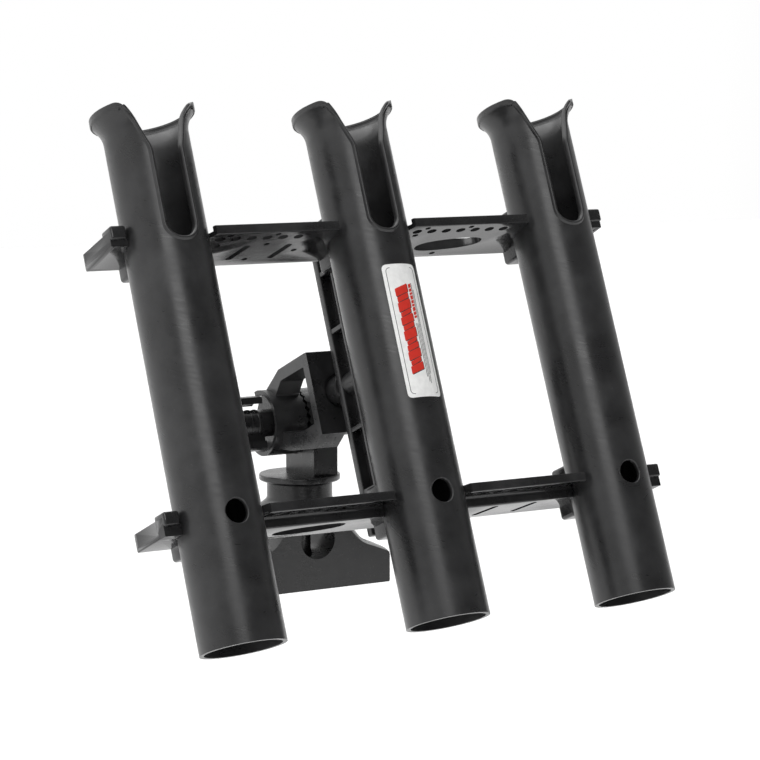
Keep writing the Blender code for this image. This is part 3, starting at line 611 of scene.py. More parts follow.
def tube_wall():
    """The sheet of the tube: a grid of rows up the tube that stop at the opening's edge on both sides."""
    columns = 112
    rows = [0.0, 0.5 * MM]
    rows += [DRAIN_HEIGHT * k / 4 for k in range(1, 5)]
    rows += [DRAIN_HEIGHT + (SLOT_BOTTOM - DRAIN_HEIGHT) * k / 8 for k in range(1, 9)]
    rows += [z for _, z in EDGE if z > SLOT_BOTTOM]
    rows += [SLOT_BOTTOM + SLOT_HALF + k * 6.0 * MM for k in range(1, 8)]
    rows += [FLARE_START + k * 1.5 * MM for k in range(15)]
    rows = sorted(set(round(z, 6) for z in rows if z <= RIM_HEIGHT))
    rows = [z for z, after in zip(rows, rows[1:] + [1.0]) if after - z > 0.04 * MM]
    bm = bmesh.new()
    grid = []
    for z in rows:
        start = edge_angle(z) if z > SLOT_BOTTOM else 0.0
        outer = []
        inner = []
        for column in range(columns + 1):
            angle = start + (math.tau - 2 * start) * column / columns
            point = on_tube(angle, z)
            normal = outward(angle, z)
            outer.append(bm.verts.new(point))
            level = Vector((normal.x, normal.y, 0.0)).normalized()
            inner.append(bm.verts.new(point - level * TUBE_WALL))
        grid.append((z, outer, inner))
    for (low, outer, inner), (_, outer_up, inner_up) in zip(grid, grid[1:]):
        for column in range(columns):
            bm.faces.new((outer[column], outer[column + 1], outer_up[column + 1], outer_up[column]))
            bm.faces.new((inner[column], inner_up[column], inner_up[column + 1], inner[column + 1]))
        if low >= SLOT_BOTTOM - 0.01 * MM:
            bm.faces.new((outer[0], outer_up[0], inner_up[0], inner[0]))
            bm.faces.new((outer[-1], inner[-1], inner_up[-1], outer_up[-1]))
    for _, outer, inner in (grid[0], grid[-1]):
        for column in range(columns):
            bm.faces.new((outer[column], inner[column], inner[column + 1], outer[column + 1]))
    bmesh.ops.remove_doubles(bm, verts=bm.verts, dist=0.002 * MM)
    return from_bmesh("wall", bm)


# Sections of the moulded edges: (distance into the sheet, height above the outside), in millimetres.
BEAD = (
    (3.0, -0.5), (2.5, 0.0), (2.1, 0.22), (1.7, 0.80), (1.2, 1.12),
    (0.6, 1.10), (0.1, 0.70), (-0.25, 0.05), (-0.3, -0.6), (-0.3, -2.0),
    (-0.1, -2.55), (0.4, -2.75), (1.3, -2.72), (2.2, -2.3),
)
MOUTH_LIP = (
    (4.2, -0.5), (3.7, -0.02), (3.0, 0.03), (2.3, 0.0), (1.7, -0.12),
    (1.1, -0.36), (0.6, -0.74), (0.2, -1.2), (0.0, -1.7), (0.05, -2.15),
    (0.25, -2.5), (0.6, -2.68), (1.3, -2.72), (2.2, -2.3),
)
DRAIN_RIM = (
    (1.6, -0.5), (1.1, -0.03), (0.8, 0.02), (0.6, 0.0), (0.3, -0.22),
    (0.08, -0.55), (0.0, -0.9), (0.0, -2.35), (0.2, -2.7), (0.8, -2.72),
    (1.8, -2.3),
)


def moulded_edge(path, section, upper_section=None, turn_at=1.0e9):
    """Sweeps a section along a closed path of (angle, height) on the tube. The sheet is on its right.
    Above a height, the section turns gradually into the upper one."""
    upper_section = upper_section or section
    bm = bmesh.new()
    rings = []
    count = len(path)
    for index, (angle, z) in enumerate(path):
        before = on_tube(*path[index - 1])
        after = on_tube(*path[(index + 1) % count])
        here = on_tube(angle, z)
        along = (after - before).normalized()
        normal = outward(angle, z)
        inward = along.cross(normal).normalized()
        around = Vector((math.cos(angle), math.sin(angle), 0.0))
        bend = inward.dot(around) ** 2 / (2 * TUBE_RADIUS)
        share = min(1.0, max(0.0, (z - turn_at) / (10.0 * MM)))
        ring = []
        for (a0, b0), (a1, b1) in zip(section, upper_section):
            into = (a0 + (a1 - a0) * share) * MM
            lift = (b0 + (b1 - b0) * share) * MM - bend * into**2
            ring.append(bm.verts.new(here + inward * into + normal * lift))
        rings.append(ring)
    return loft("edge", bm, rings)


def sheet_path():
    """The whole free edge of a tube: up the right of the opening, round the mouth and down the left."""
    first = EDGE[-1][0]
    last = math.tau - first
    steps = 72
    back = [(first + (last - first) * k / steps, RIM_HEIGHT) for k in range(1, steps)]
    left = [(math.tau - angle, z) for angle, z in reversed(EDGE[1:])]
    path = EDGE + back + left
    dense = []
    for (a0, z0), (a1, z1) in zip(path, path[1:] + path[:1]):
        wrapped = a1 + math.tau if a1 - a0 < -math.pi else a1
        length = math.hypot((wrapped - a0) * TUBE_RADIUS, z1 - z0)
        parts = max(1, int(length / (2.5 * MM)))
        dense += [(a0 + (wrapped - a0) * k / parts, z0 + (z1 - z0) * k / parts) for k in range(parts)]
    return dense


def ring_path(radius, height, steps=48):
    turns = [math.tau * index / steps for index in range(steps)]
    return [(radius * math.cos(t) / TUBE_RADIUS, height + radius * math.sin(t)) for t in turns]


def rod_tube(node, x):
    wall = tube_wall()
    low = -TUBE_RADIUS - 6.0 * MM
    high = -TUBE_RADIUS + 9.0 * MM
    cut(wall, rod("Y", low, high, DRAIN_RADIUS + 0.5 * MM, 64, (0.0, DRAIN_HEIGHT)))
    rim = moulded_edge(sheet_path(), BEAD, MOUTH_LIP, 306.0 * MM)
    drain = moulded_edge(ring_path(DRAIN_RADIUS, DRAIN_HEIGHT), DRAIN_RIM)
    gather(wall, rim, drain)
    moved(wall, Matrix.Translation((x, 0.0, 0.0)))
    look(wall, node, tube_plastic, sharp=50.0)


# ---- shelves


def upper_section():
    """Lip, sloping floor and back wall of the upper shelf, as (depth, height)."""
    front = SHELF_FRONT
    back = SHELF_BACK
    lip = -UPPER_LIP_DROP
    wall = TRAY_WALL
    heel = (32.0 * MM, -TRAY_DEPTH)
    under = rounded([(front, lip), (front, lip - LIP_HEIGHT), heel], 0.45 * MM, 3, False)[1:-1]
    under += rounded([heel, (back, -TRAY_DEPTH), (back, 0.0)], 3.2 * MM, 6, False)[:-1]
    above = [(back, 0.0), (back - wall, 0.0), (back - wall, UPPER_FLOOR), (front + wall, UPPER_FLOOR)]
    above += [(front + wall, lip), (front, lip), (front, lip - LIP_HEIGHT)]
    return under + rounded([under[-1]] + above, 0.6 * MM, 3, False)[1:-1]


def lower_section():
    """Lip, thin strip and deeper tray of the lower shelf, as (depth, height)."""
    front = SHELF_FRONT
    inner = TRAY_FRONT + TRAY_WALL
    back = SHELF_BACK
    floor = -TRAY_DEPTH + TRAY_WALL
    lip = [(front, 0.0), (front, -LIP_HEIGHT), (front + 2.2 * MM, -LIP_HEIGHT)]
    section = rounded(lip, 0.6 * MM, 3, False)
    section[0] = (front, -0.6 * MM)
    section.insert(0, (front + 0.6 * MM, 0.0))
    section += [(front + 2.3 * MM, -STRIP_THICK - 0.3 * MM), (front + 2.9 * MM, -STRIP_THICK)]
    section += arc((TRAY_FRONT - 2.2 * MM, -STRIP_THICK - 2.2 * MM), 2.2 * MM, 90.0, 0.0, 6)
    section += arc((TRAY_FRONT + 1.0 * MM, -TRAY_DEPTH + 1.0 * MM), 1.0 * MM, 180.0, 270.0, 6)
    section += arc((back - 1.6 * MM, -TRAY_DEPTH + 1.6 * MM), 1.6 * MM, 270.0, 360.0, 6)
    section += [(back, -0.6 * MM), (back - 0.6 * MM, 0.0), (back - TRAY_WALL + 0.5 * MM, 0.0)]
    section += [(back - TRAY_WALL, -0.5 * MM)]
    section += arc((back - TRAY_WALL - 1.2 * MM, floor + 1.2 * MM), 1.2 * MM, 0.0, -90.0, 4)
    section += arc((inner + 1.2 * MM, floor + 1.2 * MM), 1.2 * MM, -90.0, -180.0, 4)
    section += [(inner, -0.5 * MM), (inner - 0.5 * MM, 0.0)]
    return section


def prism(points):
    """An upright cutter with a flat outline of (across, depth) points."""
    return plate([points], -0.05, 0.05, False)


def shelf_piercings(node, slots_bay):
    """Cutters for the row of holes, the pin holes, two skewed slots in one bay and the oval in the other."""
    tools = []
    for bay in BAY_X:
        for index in range(-3, 4):
            place = (bay + HOLE_ROW_SHIFT + index * HOLE_PITCH, HOLE_ROWS[node])
            tools.append(rod("Z", -0.03, 0.03, HOLE_RADIUS, 40, place))
        for step in (-2.5, 0.5):
            place = (bay + HOLE_ROW_SHIFT + step * HOLE_PITCH, HOLE_ROWS[node] - 4.6 * MM)
            tools.append(rod("Z", -0.03, 0.03, SPARE_RADIUS, 24, place))
    for x, y in PIN_HOLES[node]:
        tools.append(rod("Z", -0.03, 0.03, PIN_RADIUS, 24, (x * MM, y * MM)))
    row = TOOL_ROWS[node]
    u = SLIT_HALF_WIDTH
    v = SLIT_HALF_LENGTH
    for offset in (-SLIT_OFFSET, SLIT_OFFSET):
        slit = prism(rounded([(-u, -v), (u, -v), (u, v), (-u, v)], 1.9 * MM))
        place = Matrix.Translation((slots_bay + offset, row, 0.0))
        tools.append(moved(slit, place @ Matrix.Rotation(SLIT_SKEW, 4, "Z")))
    points = []
    for index in range(72):
        angle = math.tau * index / 72
        point = []
        for half, value in zip(OVAL_HALF, (math.cos(angle), math.sin(angle))):
            point.append(half * math.copysign(abs(value) ** 0.8, value))
        points.append(point)
    place = Matrix.Translation((-slots_bay - 1.5 * MM, row, 0.0))
    tools.append(moved(prism(points), place @ Matrix.Rotation(OVAL_SKEW, 4, "Z")))
    return tools


def shelf(node, slots_bay):
    """A shelf: lip, pierced floor, tray, end blocks, and lugs behind the tubes."""
    top = SHELF_TOPS[node]
    upper = node == "upper_shelf"
    band_low = -9.0 * MM if upper else -TRAY_DEPTH + 0.05 * MM
    body = plate([upper_section() if upper else lower_section()], -SHELF_HALF, SHELF_HALF)
    tools = []
    for side in (-1, 1):
        ends = sorted((side * TUBE_X[-1], side * (SHELF_HALF + 10.0 * MM)))
        tools.append(block((ends[0], -40.0 * MM, -0.05), (ends[1], SHELF_END_FRONT, 0.05)))
    cut(body, *tools)
    pieces = []
    for side in (-1, 1):
        ends = sorted((side * (SHELF_HALF - 0.01 * MM), side * (SHELF_HALF - TRAY_WALL)))
        front_low = (SHELF_END_FRONT + 0.01 * MM, band_low + 0.02 * MM)
        corners = [front_low, (32.0 * MM, -TRAY_DEPTH + 0.02 * MM)]
        corners += arc((SHELF_BACK - 3.2 * MM, -TRAY_DEPTH + 3.2 * MM), 3.18 * MM, 275.0, 360.0, 6)
        corners += [(SHELF_BACK - 0.6 * MM, -0.01 * MM), (SHELF_END_FRONT + 0.01 * MM, -0.01 * MM)]
        pieces.append(plate([corners], *ends))
        ends = sorted((side * (SHELF_HALF - 0.02 * MM), side * TUBE_X[-1]))
        low = (ends[0], SHELF_END_FRONT + 0.02 * MM, band_low)
        pieces.append(block(low, (ends[1], 7.0 * MM, END_BLOCK_LOW + 2.0 * MM), 0.4 * MM))
        ends = sorted((side * (SHELF_HALF - 0.02 * MM), side * (SHELF_HALF - END_BLOCK_WIDTH)))
        low = (ends[0], END_BLOCK_FRONT, END_BLOCK_LOW)
        pieces.append(block(low, (ends[1], 7.5 * MM, END_BLOCK_HIGH), 1.3 * MM, 4))
    for x in TUBE_X:
        above = -0.8 * MM if x == TUBE_X[0] else LUG_ABOVE
        low = (x - LUG_HALF, LUG_FRONT, LUG_LOW)
        pieces.append(block(low, (x + LUG_HALF, SHELF_BACK - 0.02 * MM, above), 2.2 * MM, 5))
    join(body, *pieces)
    tools = []
    wide = NOTCH_RADIUS + 1.4 * MM
    narrow = NOTCH_RADIUS - 1.6 * MM
    front = SHELF_FRONT - 1.0 * MM
    for x in TUBE_X:
        tools.append(rod("Z", -0.05, 0.05, NOTCH_RADIUS, 96, (x, 0.0)))
        mouth = [(x - wide, front), (x + wide, front), (x + narrow, -8.0 * MM), (x - narrow, -8.0 * MM)]
        tools.append(prism(mouth))
    cut(body, *tools)
    eased(body, 0.3 * MM, 50.0, 2)
    cut(body, *shelf_piercings(node, slots_bay))
    moved(body, Matrix.Translation((0.0, 0.0, top)))
    look(body, node, shelf_plastic)


# ---- spine and bracket


def spine():
    """Two strips joined by a web with ribs, a boss for the clamp bolt, and the screw posts."""
    low = (-SPINE_HALF, SPINE_BACK - 5.8 * MM, SPINE_LOW)
    body = block(low, (SPINE_HALF, SPINE_BACK, SPINE_HIGH), 0.9 * MM)
    low = (-1.6 * MM, SPINE_FRONT + 0.5 * MM, SPINE_LOW + 0.6 * MM)
    web = block(low, (1.6 * MM, SPINE_BACK - 1.0 * MM, SPINE_HIGH - 0.6 * MM), 0.2 * MM)
    high = (SPINE_HALF, SPINE_FRONT + 3.2 * MM, SPINE_HIGH)
    pieces = [web, block((-SPINE_HALF, SPINE_FRONT, SPINE_LOW), high, 0.9 * MM)]
    reach = SPINE_HALF - 0.4 * MM
    for height in SPINE_RIBS:
        low = (-reach, SPINE_FRONT + 1.0 * MM, height - 1.5 * MM)
        pieces.append(block(low, (reach, SPINE_BACK - 1.0 * MM, height + 1.5 * MM), 0.5 * MM))
    clamp = (0.0, CLAMP_HEIGHT)
    screws = [(0.0, height) for height in SCREW_HEIGHTS]
    pieces.append(rod("Y", SPINE_FRONT + 0.3 * MM, SPINE_BACK - 0.2 * MM, 7.2 * MM, 72, clamp))
    pieces.append(rod("Y", SPINE_BACK - 0.7 * MM, PLATE_FRONT + 1.7 * MM, 9.5 * MM, 72, clamp, 0.5 * MM))
    for place in screws:
        pieces.append(rod("Y", SPINE_FRONT + 0.4 * MM, SPINE_BACK - 0.4 * MM, 5.2 * MM, 48, place))
    join(body, *pieces)
    outside = SPINE_FRONT - 5.0 * MM
    tools = [rod("Y", outside, PLATE_FRONT + 10.0 * MM, BOLT_RADIUS + GAP, 48, clamp)]
    tools.append(rod("Y", outside, SPINE_FRONT + 6.6 * MM, 6.1 * MM, 48, clamp))
    for place in screws:
        tools.append(rod("Y", outside, SPINE_BACK + 5.0 * MM, 2.5 * MM, 32, place))
    cut(body, *tools)
    eased(body, 0.3 * MM, 50.0, 2)
    look(body, "spine", bracket_plastic)


def toothed_ring(outer, face, depth, phase):
    """A ring of radial teeth about the X axis. Its crests lie at face and its roots at face + depth."""
    bm = bmesh.new()
    rings = []
    inner = 9.0 * MM
    back = face + depth + math.copysign(1.0 * MM, depth)
    for index in range(TEETH * 2):
        angle = math.tau * (index + phase) / (TEETH * 2)
        x = face if index % 2 == 0 else face + depth
        corners = []
        for radius, along in ((inner, x), (outer, x), (outer, back), (inner, back)):
            corners.append(bm.verts.new((along, radius * math.cos(angle), radius * math.sin(angle))))
        rings.append(corners)
    return loft("teeth", bm, rings)


def tilt_bracket():
    """A windowed bracket with the clamp plate, and a hub that is hollowed on the left for the knob."""
    hub = (AXIS_DEPTH, AXIS_HEIGHT)
    front = PLATE_FRONT
    back = PLATE_BACK
    outside = [(front, PLATE_LOW), (front, PLATE_HIGH), (front + 3.5 * MM, PLATE_HIGH + 0.3 * MM)]
    outside += [(front + 39.0 * MM, PLATE_HIGH + 0.8 * MM), (front + 48.0 * MM, PLATE_HIGH - 2.5 * MM)]
    outside += arc(hub, HUB_RADIUS, 108.0, -112.0, 40)
    outside += [(front + 42.0 * MM, PLATE_LOW + 1.0 * MM), (front + 13.5 * MM, PLATE_LOW - 5.6 * MM)]
    window = [(back, PLATE_LOW + 8.4 * MM), (back, PLATE_HIGH - 7.4 * MM)]
    window.append((front + 38.5 * MM, PLATE_HIGH - 6.6 * MM))
    window += arc(hub, HUB_RADIUS, 143.0, 213.0, 10)
    window += [(front + 35.0 * MM, PLATE_LOW + 10.4 * MM), (front + 21.0 * MM, PLATE_LOW + 8.4 * MM)]
    body = plate([outside, rounded(window, 1.5 * MM, 4)], -PLATE_HALF, ARM_RIGHT)
    face = block((-PLATE_HALF, front, PLATE_LOW), (PLATE_HALF, back, PLATE_HIGH), 0.0)
    barrel = rod("X", HUB_LEFT, ARM_RIGHT, HUB_RADIUS - 0.02 * MM, 128, hub)
    join(body, face, barrel)
    clamp = (0.0, CLAMP_HEIGHT)
    low = (-0.05, AXIS_DEPTH + 1.0 * MM, AXIS_HEIGHT - 9.0 * MM)
    tools = [
        rod("X", HUB_LEFT - 5.0 * MM, HUB_LEFT + CUP_DEPTH, CUP_RADIUS, 96, hub),
        rod("X", -0.05, 0.05, BOLT_RADIUS + GAP, 48, hub),
        rod("Y", front - 5.0 * MM, front + 2.0 * MM, 11.5 * MM, 72, clamp),
        rod("Y", front - 5.0 * MM, back + 2.0 * MM, BOLT_RADIUS + GAP, 48, clamp),
        block(low, (HUB_LEFT + CUP_DEPTH, AXIS_DEPTH + 0.05, AXIS_HEIGHT + 0.05)),
    ]
    cut(body, *tools)
    eased(body, 0.45 * MM, 40.0, 3)
    teeth = toothed_ring(HUB_RADIUS - 0.1 * MM, -GAP, -TOOTH_DEPTH, 0.0)
    gather(body, moved(teeth, Matrix.Translation((0.0, *hub))))
    look(body, "tilt_bracket", bracket_plastic)


# ---- fasteners


def hex_head(axis, low, high, flats, at=(0.0, 0.0)):
    """A hexagon head or nut with its corners turned off at both faces."""
    corner = flats / math.sqrt(3.0)
    head = rod(axis, low, high, corner, 6, at)
    start, length = span(axis, low, high, at)
    drop = (corner - flats / 2) * 0.58
    limit = corner + 0.05 * MM
    inner = flats / 2 * 0.98
    profile = [(0.0, 0.0), (inner, 0.0), (limit, drop), (limit, length - drop)]
    profile += [(inner, length), (0.0, length)]
    return combine(head, [revolved(axis, start, profile, 72)], "INTERSECT")


def washer(axis, low, high, outer, inner, at=(0.0, 0.0)):
    start, length = span(axis, low, high, at)
    edge = 0.25 * MM
    profile = [(inner + edge, 0.0), (outer - edge, 0.0), (outer, edge), (outer, length - edge)]
    profile += [(outer - edge, length), (inner + edge, length), (inner, length - edge), (inner, edge)]
    return revolved(axis, start, profile, 72)


def threaded(axis, low, high, radius, pitch, at=(0.0, 0.0)):
    """A shank with thread ridges."""
    start, length = span(axis, low, high, at)
    edge = 0.6 * MM
    depth = pitch * 0.42
    profile = [(0.0, 0.0), (radius - edge, 0.0)]
    along = edge
    while along < length - edge:
        profile.append((radius, along))
        profile.append((radius - depth, along + pitch / 2))
        along += pitch
    profile += [(radius - edge, length), (0.0, length)]
    return revolved(axis, start, profile, 40)


def clamp_fasteners():
    place = (0.0, CLAMP_HEIGHT)
    head = SPINE_FRONT + 2.0 * MM
    seat = PLATE_BACK
    tip = seat + 13.0 * MM
    radius = BOLT_RADIUS - 0.1 * MM
    bolt = hex_head("Y", head, head + 4.2 * MM, 10.0 * MM, place)
    shank = rod("Y", head + 3.0 * MM, seat - 1.0 * MM, radius, 40, place)
    gather(bolt, shank, threaded("Y", seat - 1.5 * MM, tip, radius, 1.25 * MM, place))
    look(bolt, "clamp_bolt", bolt_steel, slot="steel")
    start = seat + GAP
    ring = washer("Y", start, start + 1.6 * MM, 8.0 * MM, BOLT_RADIUS + 0.2 * MM, place)
    look(ring, "clamp_washer", washer_steel, slot="steel")
    start += 1.6 * MM + GAP
    nut = hex_head("Y", start, start + 6.5 * MM, 12.0 * MM, place)
    cut(nut, rod("Y", seat - 0.01, tip + 0.01, BOLT_RADIUS + 0.2 * MM, 48, place))
    look(nut, "clamp_nut", bolt_steel, slot="steel")


def spine_screws():
    seat = SPINE_BACK + GAP
    dome = [(0.0, 2.6), (1.5, 2.5), (3.0, 2.05), (4.0, 1.2), (4.4, 0.3), (4.3, 0.0), (0.0, 0.0)]
    for node, z in zip(("spine_screw_lower", "spine_screw_upper"), SCREW_HEIGHTS):
        head = revolved("Y", (0.0, seat, z), [(r * MM, h * MM) for r, h in dome], 48)
        arms = []
        for turn in (0.0, 90.0):
            arm = block((-1.9 * MM, 1.2 * MM, -0.45 * MM), (1.9 * MM, 3.0 * MM, 0.45 * MM))
            place = Matrix.Translation((0.0, seat, z)) @ Matrix.Rotation(math.radians(turn), 4, "Y")
            arms.append(moved(arm, place))
        cut(head, *arms)
        gather(head, threaded("Y", 29.0 * MM, seat + 0.5 * MM, 2.2 * MM, 1.4 * MM, (0.0, z)))
        look(head, node, bolt_steel, slot="steel")


def stem_fasteners():
    top = STEM_END - GAP
    ring = washer("Z", top - 1.8 * MM, top, 12.5 * MM, 3.1 * MM)
    look(ring, "stem_washer", washer_steel, HERE, "swivel", "steel")
    seat = top - 1.8 * MM - GAP
    bolt = hex_head("Z", seat - 4.6 * MM, seat, 10.0 * MM)
    gather(bolt, threaded("Z", seat - 1.0 * MM, 36.0 * MM, 2.7 * MM, 1.0 * MM))
    look(bolt, "stem_bolt", bolt_steel, HERE, "swivel", "steel")


def tilt_fasteners():
    seat = POST_RIGHT + GAP
    ring = washer("X", seat, seat + 1.8 * MM, 9.0 * MM, BOLT_RADIUS + 0.2 * MM)
    look(ring, "tilt_washer", washer_steel, ON_TILT, "swivel", "steel")
    head = seat + 1.8 * MM + GAP
    bolt = hex_head("X", head, head + 5.6 * MM, 13.0 * MM)
    shank = rod("X", -18.0 * MM, head + 1.0 * MM, BOLT_RADIUS)
    gather(bolt, shank, threaded("X", KNOB_LEFT + 8.0 * MM, -17.0 * MM, BOLT_RADIUS, 1.25 * MM))
    look(bolt, "tilt_bolt", bolt_steel, ON_TILT, "swivel", "steel")


# ---- label


def on_label(outline, low_lift, high_lift):
    """A closed outline of (distance round the tube, height) as a thin solid wrapped on the middle tube."""
    bm = bmesh.new()
    flat = [bm.verts.new((u, 0.0, v)) for u, v in outline]
    face = bm.faces.new(flat)
    bmesh.ops.triangulate(bm, faces=[face])
    for cut_at in np.arange(-14.0, 16.0, 1.0):
        geometry = bm.verts[:] + bm.edges[:] + bm.faces[:]
        place = (cut_at * MM, 0.0, 0.0)
        bmesh.ops.bisect_plane(bm, geom=geometry, plane_co=place, plane_no=(1.0, 0.0, 0.0))
    top = bmesh.ops.extrude_face_region(bm, geom=bm.faces[:])
    raised = {v for v in top["geom"] if isinstance(v, bmesh.types.BMVert)}
    for vert in bm.verts:
        radius = TUBE_RADIUS + (high_lift if vert in raised else low_lift)
        vert.co = around_tube(vert.co.x / TUBE_RADIUS, radius, vert.co.z)
    return from_bmesh("film", bm)


def printed(obj, name, material):
    piece(obj, name, RACK, material, "rack", [], "label", 30.0)


def inset_line(outline, centre, width):
    """A fine printed line of some width that follows a closed outline on the middle tube."""
    bm = bmesh.new()
    rings = []
    for index, point in enumerate(outline):
        here = Vector(point)
        along = (Vector(outline[(index + 1) % len(outline)]) - Vector(outline[index - 1])).normalized()
        side = Vector((-along.y, along.x)) * width / 2
        if side.dot(centre - here) < 0:
            side = -side
        corners = []
        for offset, lift in ((-1, INK_LOW), (1, INK_LOW), (1, INK_HIGH), (-1, INK_HIGH)):
            spot = here + side * offset
            corners.append(bm.verts.new(around_tube(spot.x / TUBE_RADIUS, TUBE_RADIUS + lift, spot.y)))
        rings.append(corners)
    return loft("border", bm, rings)


# Heights of the printed layers above the tube.
FILM_LOW = 0.04 * MM
FILM_HIGH = 0.26 * MM
INK_LOW = 0.20 * MM
INK_HIGH = 0.30 * MM
RED_LOW = 0.28 * MM
RED_HIGH = 0.34 * MM


def label():
    """White film with a fine inset line, a column of plain slanted bars, and small bars beside it."""
    left = math.radians(-22.0) * TUBE_RADIUS
    right = math.radians(34.0) * TUBE_RADIUS
    low = 129.8 * MM
    high = 212.0 * MM
    sheet = rounded([(left, low), (right, low), (right, high), (left, high)], 3.2 * MM, 8)
    look(on_label(sheet, FILM_LOW, FILM_HIGH), "label", label_white, slot="label")
    inset = 2.2 * MM
    corners = [(left + inset, low + inset), (right - inset, low + inset)]
    corners += [(right - inset, high - inset), (left + inset, high - inset)]
    centre = Vector(((left + right) / 2, (low + high) / 2))
    border = inset_line(rounded(corners, 2.6 * MM, 8), centre, 0.35 * MM)
    printed(border, "label_border", label_ink)
    bars = []
    inked = []
    slant = 1.5 * MM
    middle = left + 9.6 * MM
    z = low + 15.5 * MM
    widths = (1.0, 0.84, 1.0, 0.92, 0.8, 1.0, 0.88, 1.0, 0.84, 1.0, 0.9, 1.0)
    lengths = (4.6, 2.6, 5.2, 3.4, 2.4, 5.6, 2.8, 4.8, 2.6, 5.6, 3.2, 5.0)
    for long, wide in zip(lengths, widths):
        length = long * MM
        u0 = middle - 4.3 * MM * wide
        u1 = middle + 4.3 * MM * wide
        bar = [(u0, z - slant), (u1, z + slant), (u1, z + length + slant), (u0, z + length - slant)]
        bars.append(on_label(rounded(bar, 0.4 * MM, 3), RED_LOW, RED_HIGH))
        under = [(u + 0.4 * MM, v - 0.4 * MM) for u, v in bar]
        inked.append(on_label(rounded(under, 0.4 * MM, 3), INK_LOW, INK_HIGH))
        z += length + 0.45 * MM
    u0 = middle + 5.3 * MM
    u1 = u0 + 2.1 * MM
    z = low + 48.0 * MM
    for index in range(9):
        length = (1.4 + 0.5 * (index % 3)) * MM
        bar = [(u0, z), (u1, z + 0.7 * MM), (u1, z + length + 0.7 * MM), (u0, z + length)]
        bars.append(on_label(bar, RED_LOW, RED_HIGH))
        z += length + 0.5 * MM
    for offset, start, end in ((5.6, 12.0, 45.0), (6.7, 9.0, 45.0), (7.8, 8.0, 70.0), (8.8, 14.0, 66.0)):
        u0 = middle + offset * MM
        u1 = u0 + 0.4 * MM
        bottom = low + start * MM
        top = low + end * MM
        inked.append(on_label([(u0, bottom), (u1, bottom), (u1, top), (u0, top)], INK_LOW, INK_HIGH))
    printed(gather(*bars), "label_bars", label_red)
    printed(gather(*inked), "label_bar_edges", label_ink)


# ---- post, knob, pedestal


def swivel_post():
    """A square column with a round serrated lug, on a disc with the stem below."""
    pivot = (TILT.y, TILT.z)
    low = (GAP, -POST_HALF_DEPTH, DISC_TOP - 1.0 * MM)
    column = block(low, (POST_RIGHT, POST_HALF_DEPTH, TILT.z), 0.0)
    lug = rod("X", GAP, POST_RIGHT, LUG_RADIUS, 128, pivot)
    edge = 0.9 * MM
    profile = [(0.0, DISC_TOP), (DISC_RADIUS - edge, DISC_TOP)]
    rounding = arc((0.0, 0.0), edge, 75.0, 0.0, 4)
    profile += [(DISC_RADIUS - edge + r, DISC_TOP - edge + h) for r, h in rounding]
    profile += [(DISC_RADIUS, DISC_BOTTOM + 0.6 * MM), (DISC_RADIUS - 0.6 * MM, DISC_BOTTOM)]
    profile += [(STEM_RADIUS, DISC_BOTTOM), (STEM_RADIUS, STEM_END + 0.5 * MM)]
    profile += [(STEM_RADIUS - 0.5 * MM, STEM_END), (0.0, STEM_END)]
    disc = revolved("Z", (0.0, 0.0, 0.0), profile, 128)
    join(column, lug, disc)
    recess = rod("X", -0.01, GAP + TOOTH_DEPTH, LUG_RADIUS + 0.8 * MM, 128, pivot)
    bolt_bore = rod("X", -0.05, 0.05, BOLT_RADIUS + GAP, 48, pivot)
    cut(column, recess, bolt_bore, rod("Z", 0.0, 40.0 * MM, 3.0 * MM, 32))
    eased(column, 0.5 * MM, 40.0, 3)
    teeth = toothed_ring(LUG_RADIUS - 0.1 * MM, GAP, TOOTH_DEPTH, 1.0)
    gather(column, moved(teeth, ON_TILT))
    look(column, "swivel_post", post_plastic, HERE, "swivel")


def tilt_knob():
    """A ribbed core with a grooved cap and a skirt that is cut down to a thin fin on one side."""
    floor = HUB_LEFT + CUP_DEPTH - GAP
    core = rod("X", KNOB_LEFT + 2.0 * MM, floor, KNOB_CORE, 96, edge=0.5 * MM)
    join(core, rod("X", KNOB_LEFT, KNOB_LEFT + 7.0 * MM, KNOB_RIM, 96, edge=1.2 * MM))
    bar_end = HUB_LEFT - 1.0 * MM
    start = KNOB_LEFT + 3.0 * MM
    skirt = washer("X", start, bar_end, KNOB_RIM - 0.02 * MM, KNOB_INNER)
    combine(skirt, [block((-0.08, -7.0 * MM, -0.04), (0.0, 7.0 * MM, 0.04))], "INTERSECT")
    join(skirt, block((start, -5.0 * MM, -KNOB_RIM + 1.0 * MM), (bar_end - 0.02 * MM, 5.0 * MM, 0.0)))
    moved(skirt, Matrix.Rotation(math.radians(-14.0), 4, "X"))
    join(core, skirt)
    outside = KNOB_LEFT - 5.0 * MM
    tools = [rod("X", KNOB_LEFT + 7.0 * MM, floor + 5.0 * MM, BOLT_RADIUS + GAP)]
    tools.append(rod("X", outside, KNOB_LEFT + 0.8 * MM, 11.5 * MM, 72))
    reach = KNOB_RIM + 1.0 * MM
    for index in range(18):
        turn = math.tau * index / 18
        place = (reach * math.cos(turn), reach * math.sin(turn))
        tools.append(rod("X", outside, KNOB_LEFT + 7.5 * MM, 1.6 * MM, 20, place))
    cut(core, *tools)
    eased(core, 0.4 * MM, 40.0, 2)
    for along in (6.0, 11.0, 16.0):
        x = KNOB_LEFT + (7.0 + along) * MM
        gather(core, washer("X", x, x + 1.6 * MM, KNOB_CORE + 0.4 * MM, KNOB_CORE - 1.0 * MM))
    look(core, "tilt_knob", knob_plastic, ON_TILT, "knob")


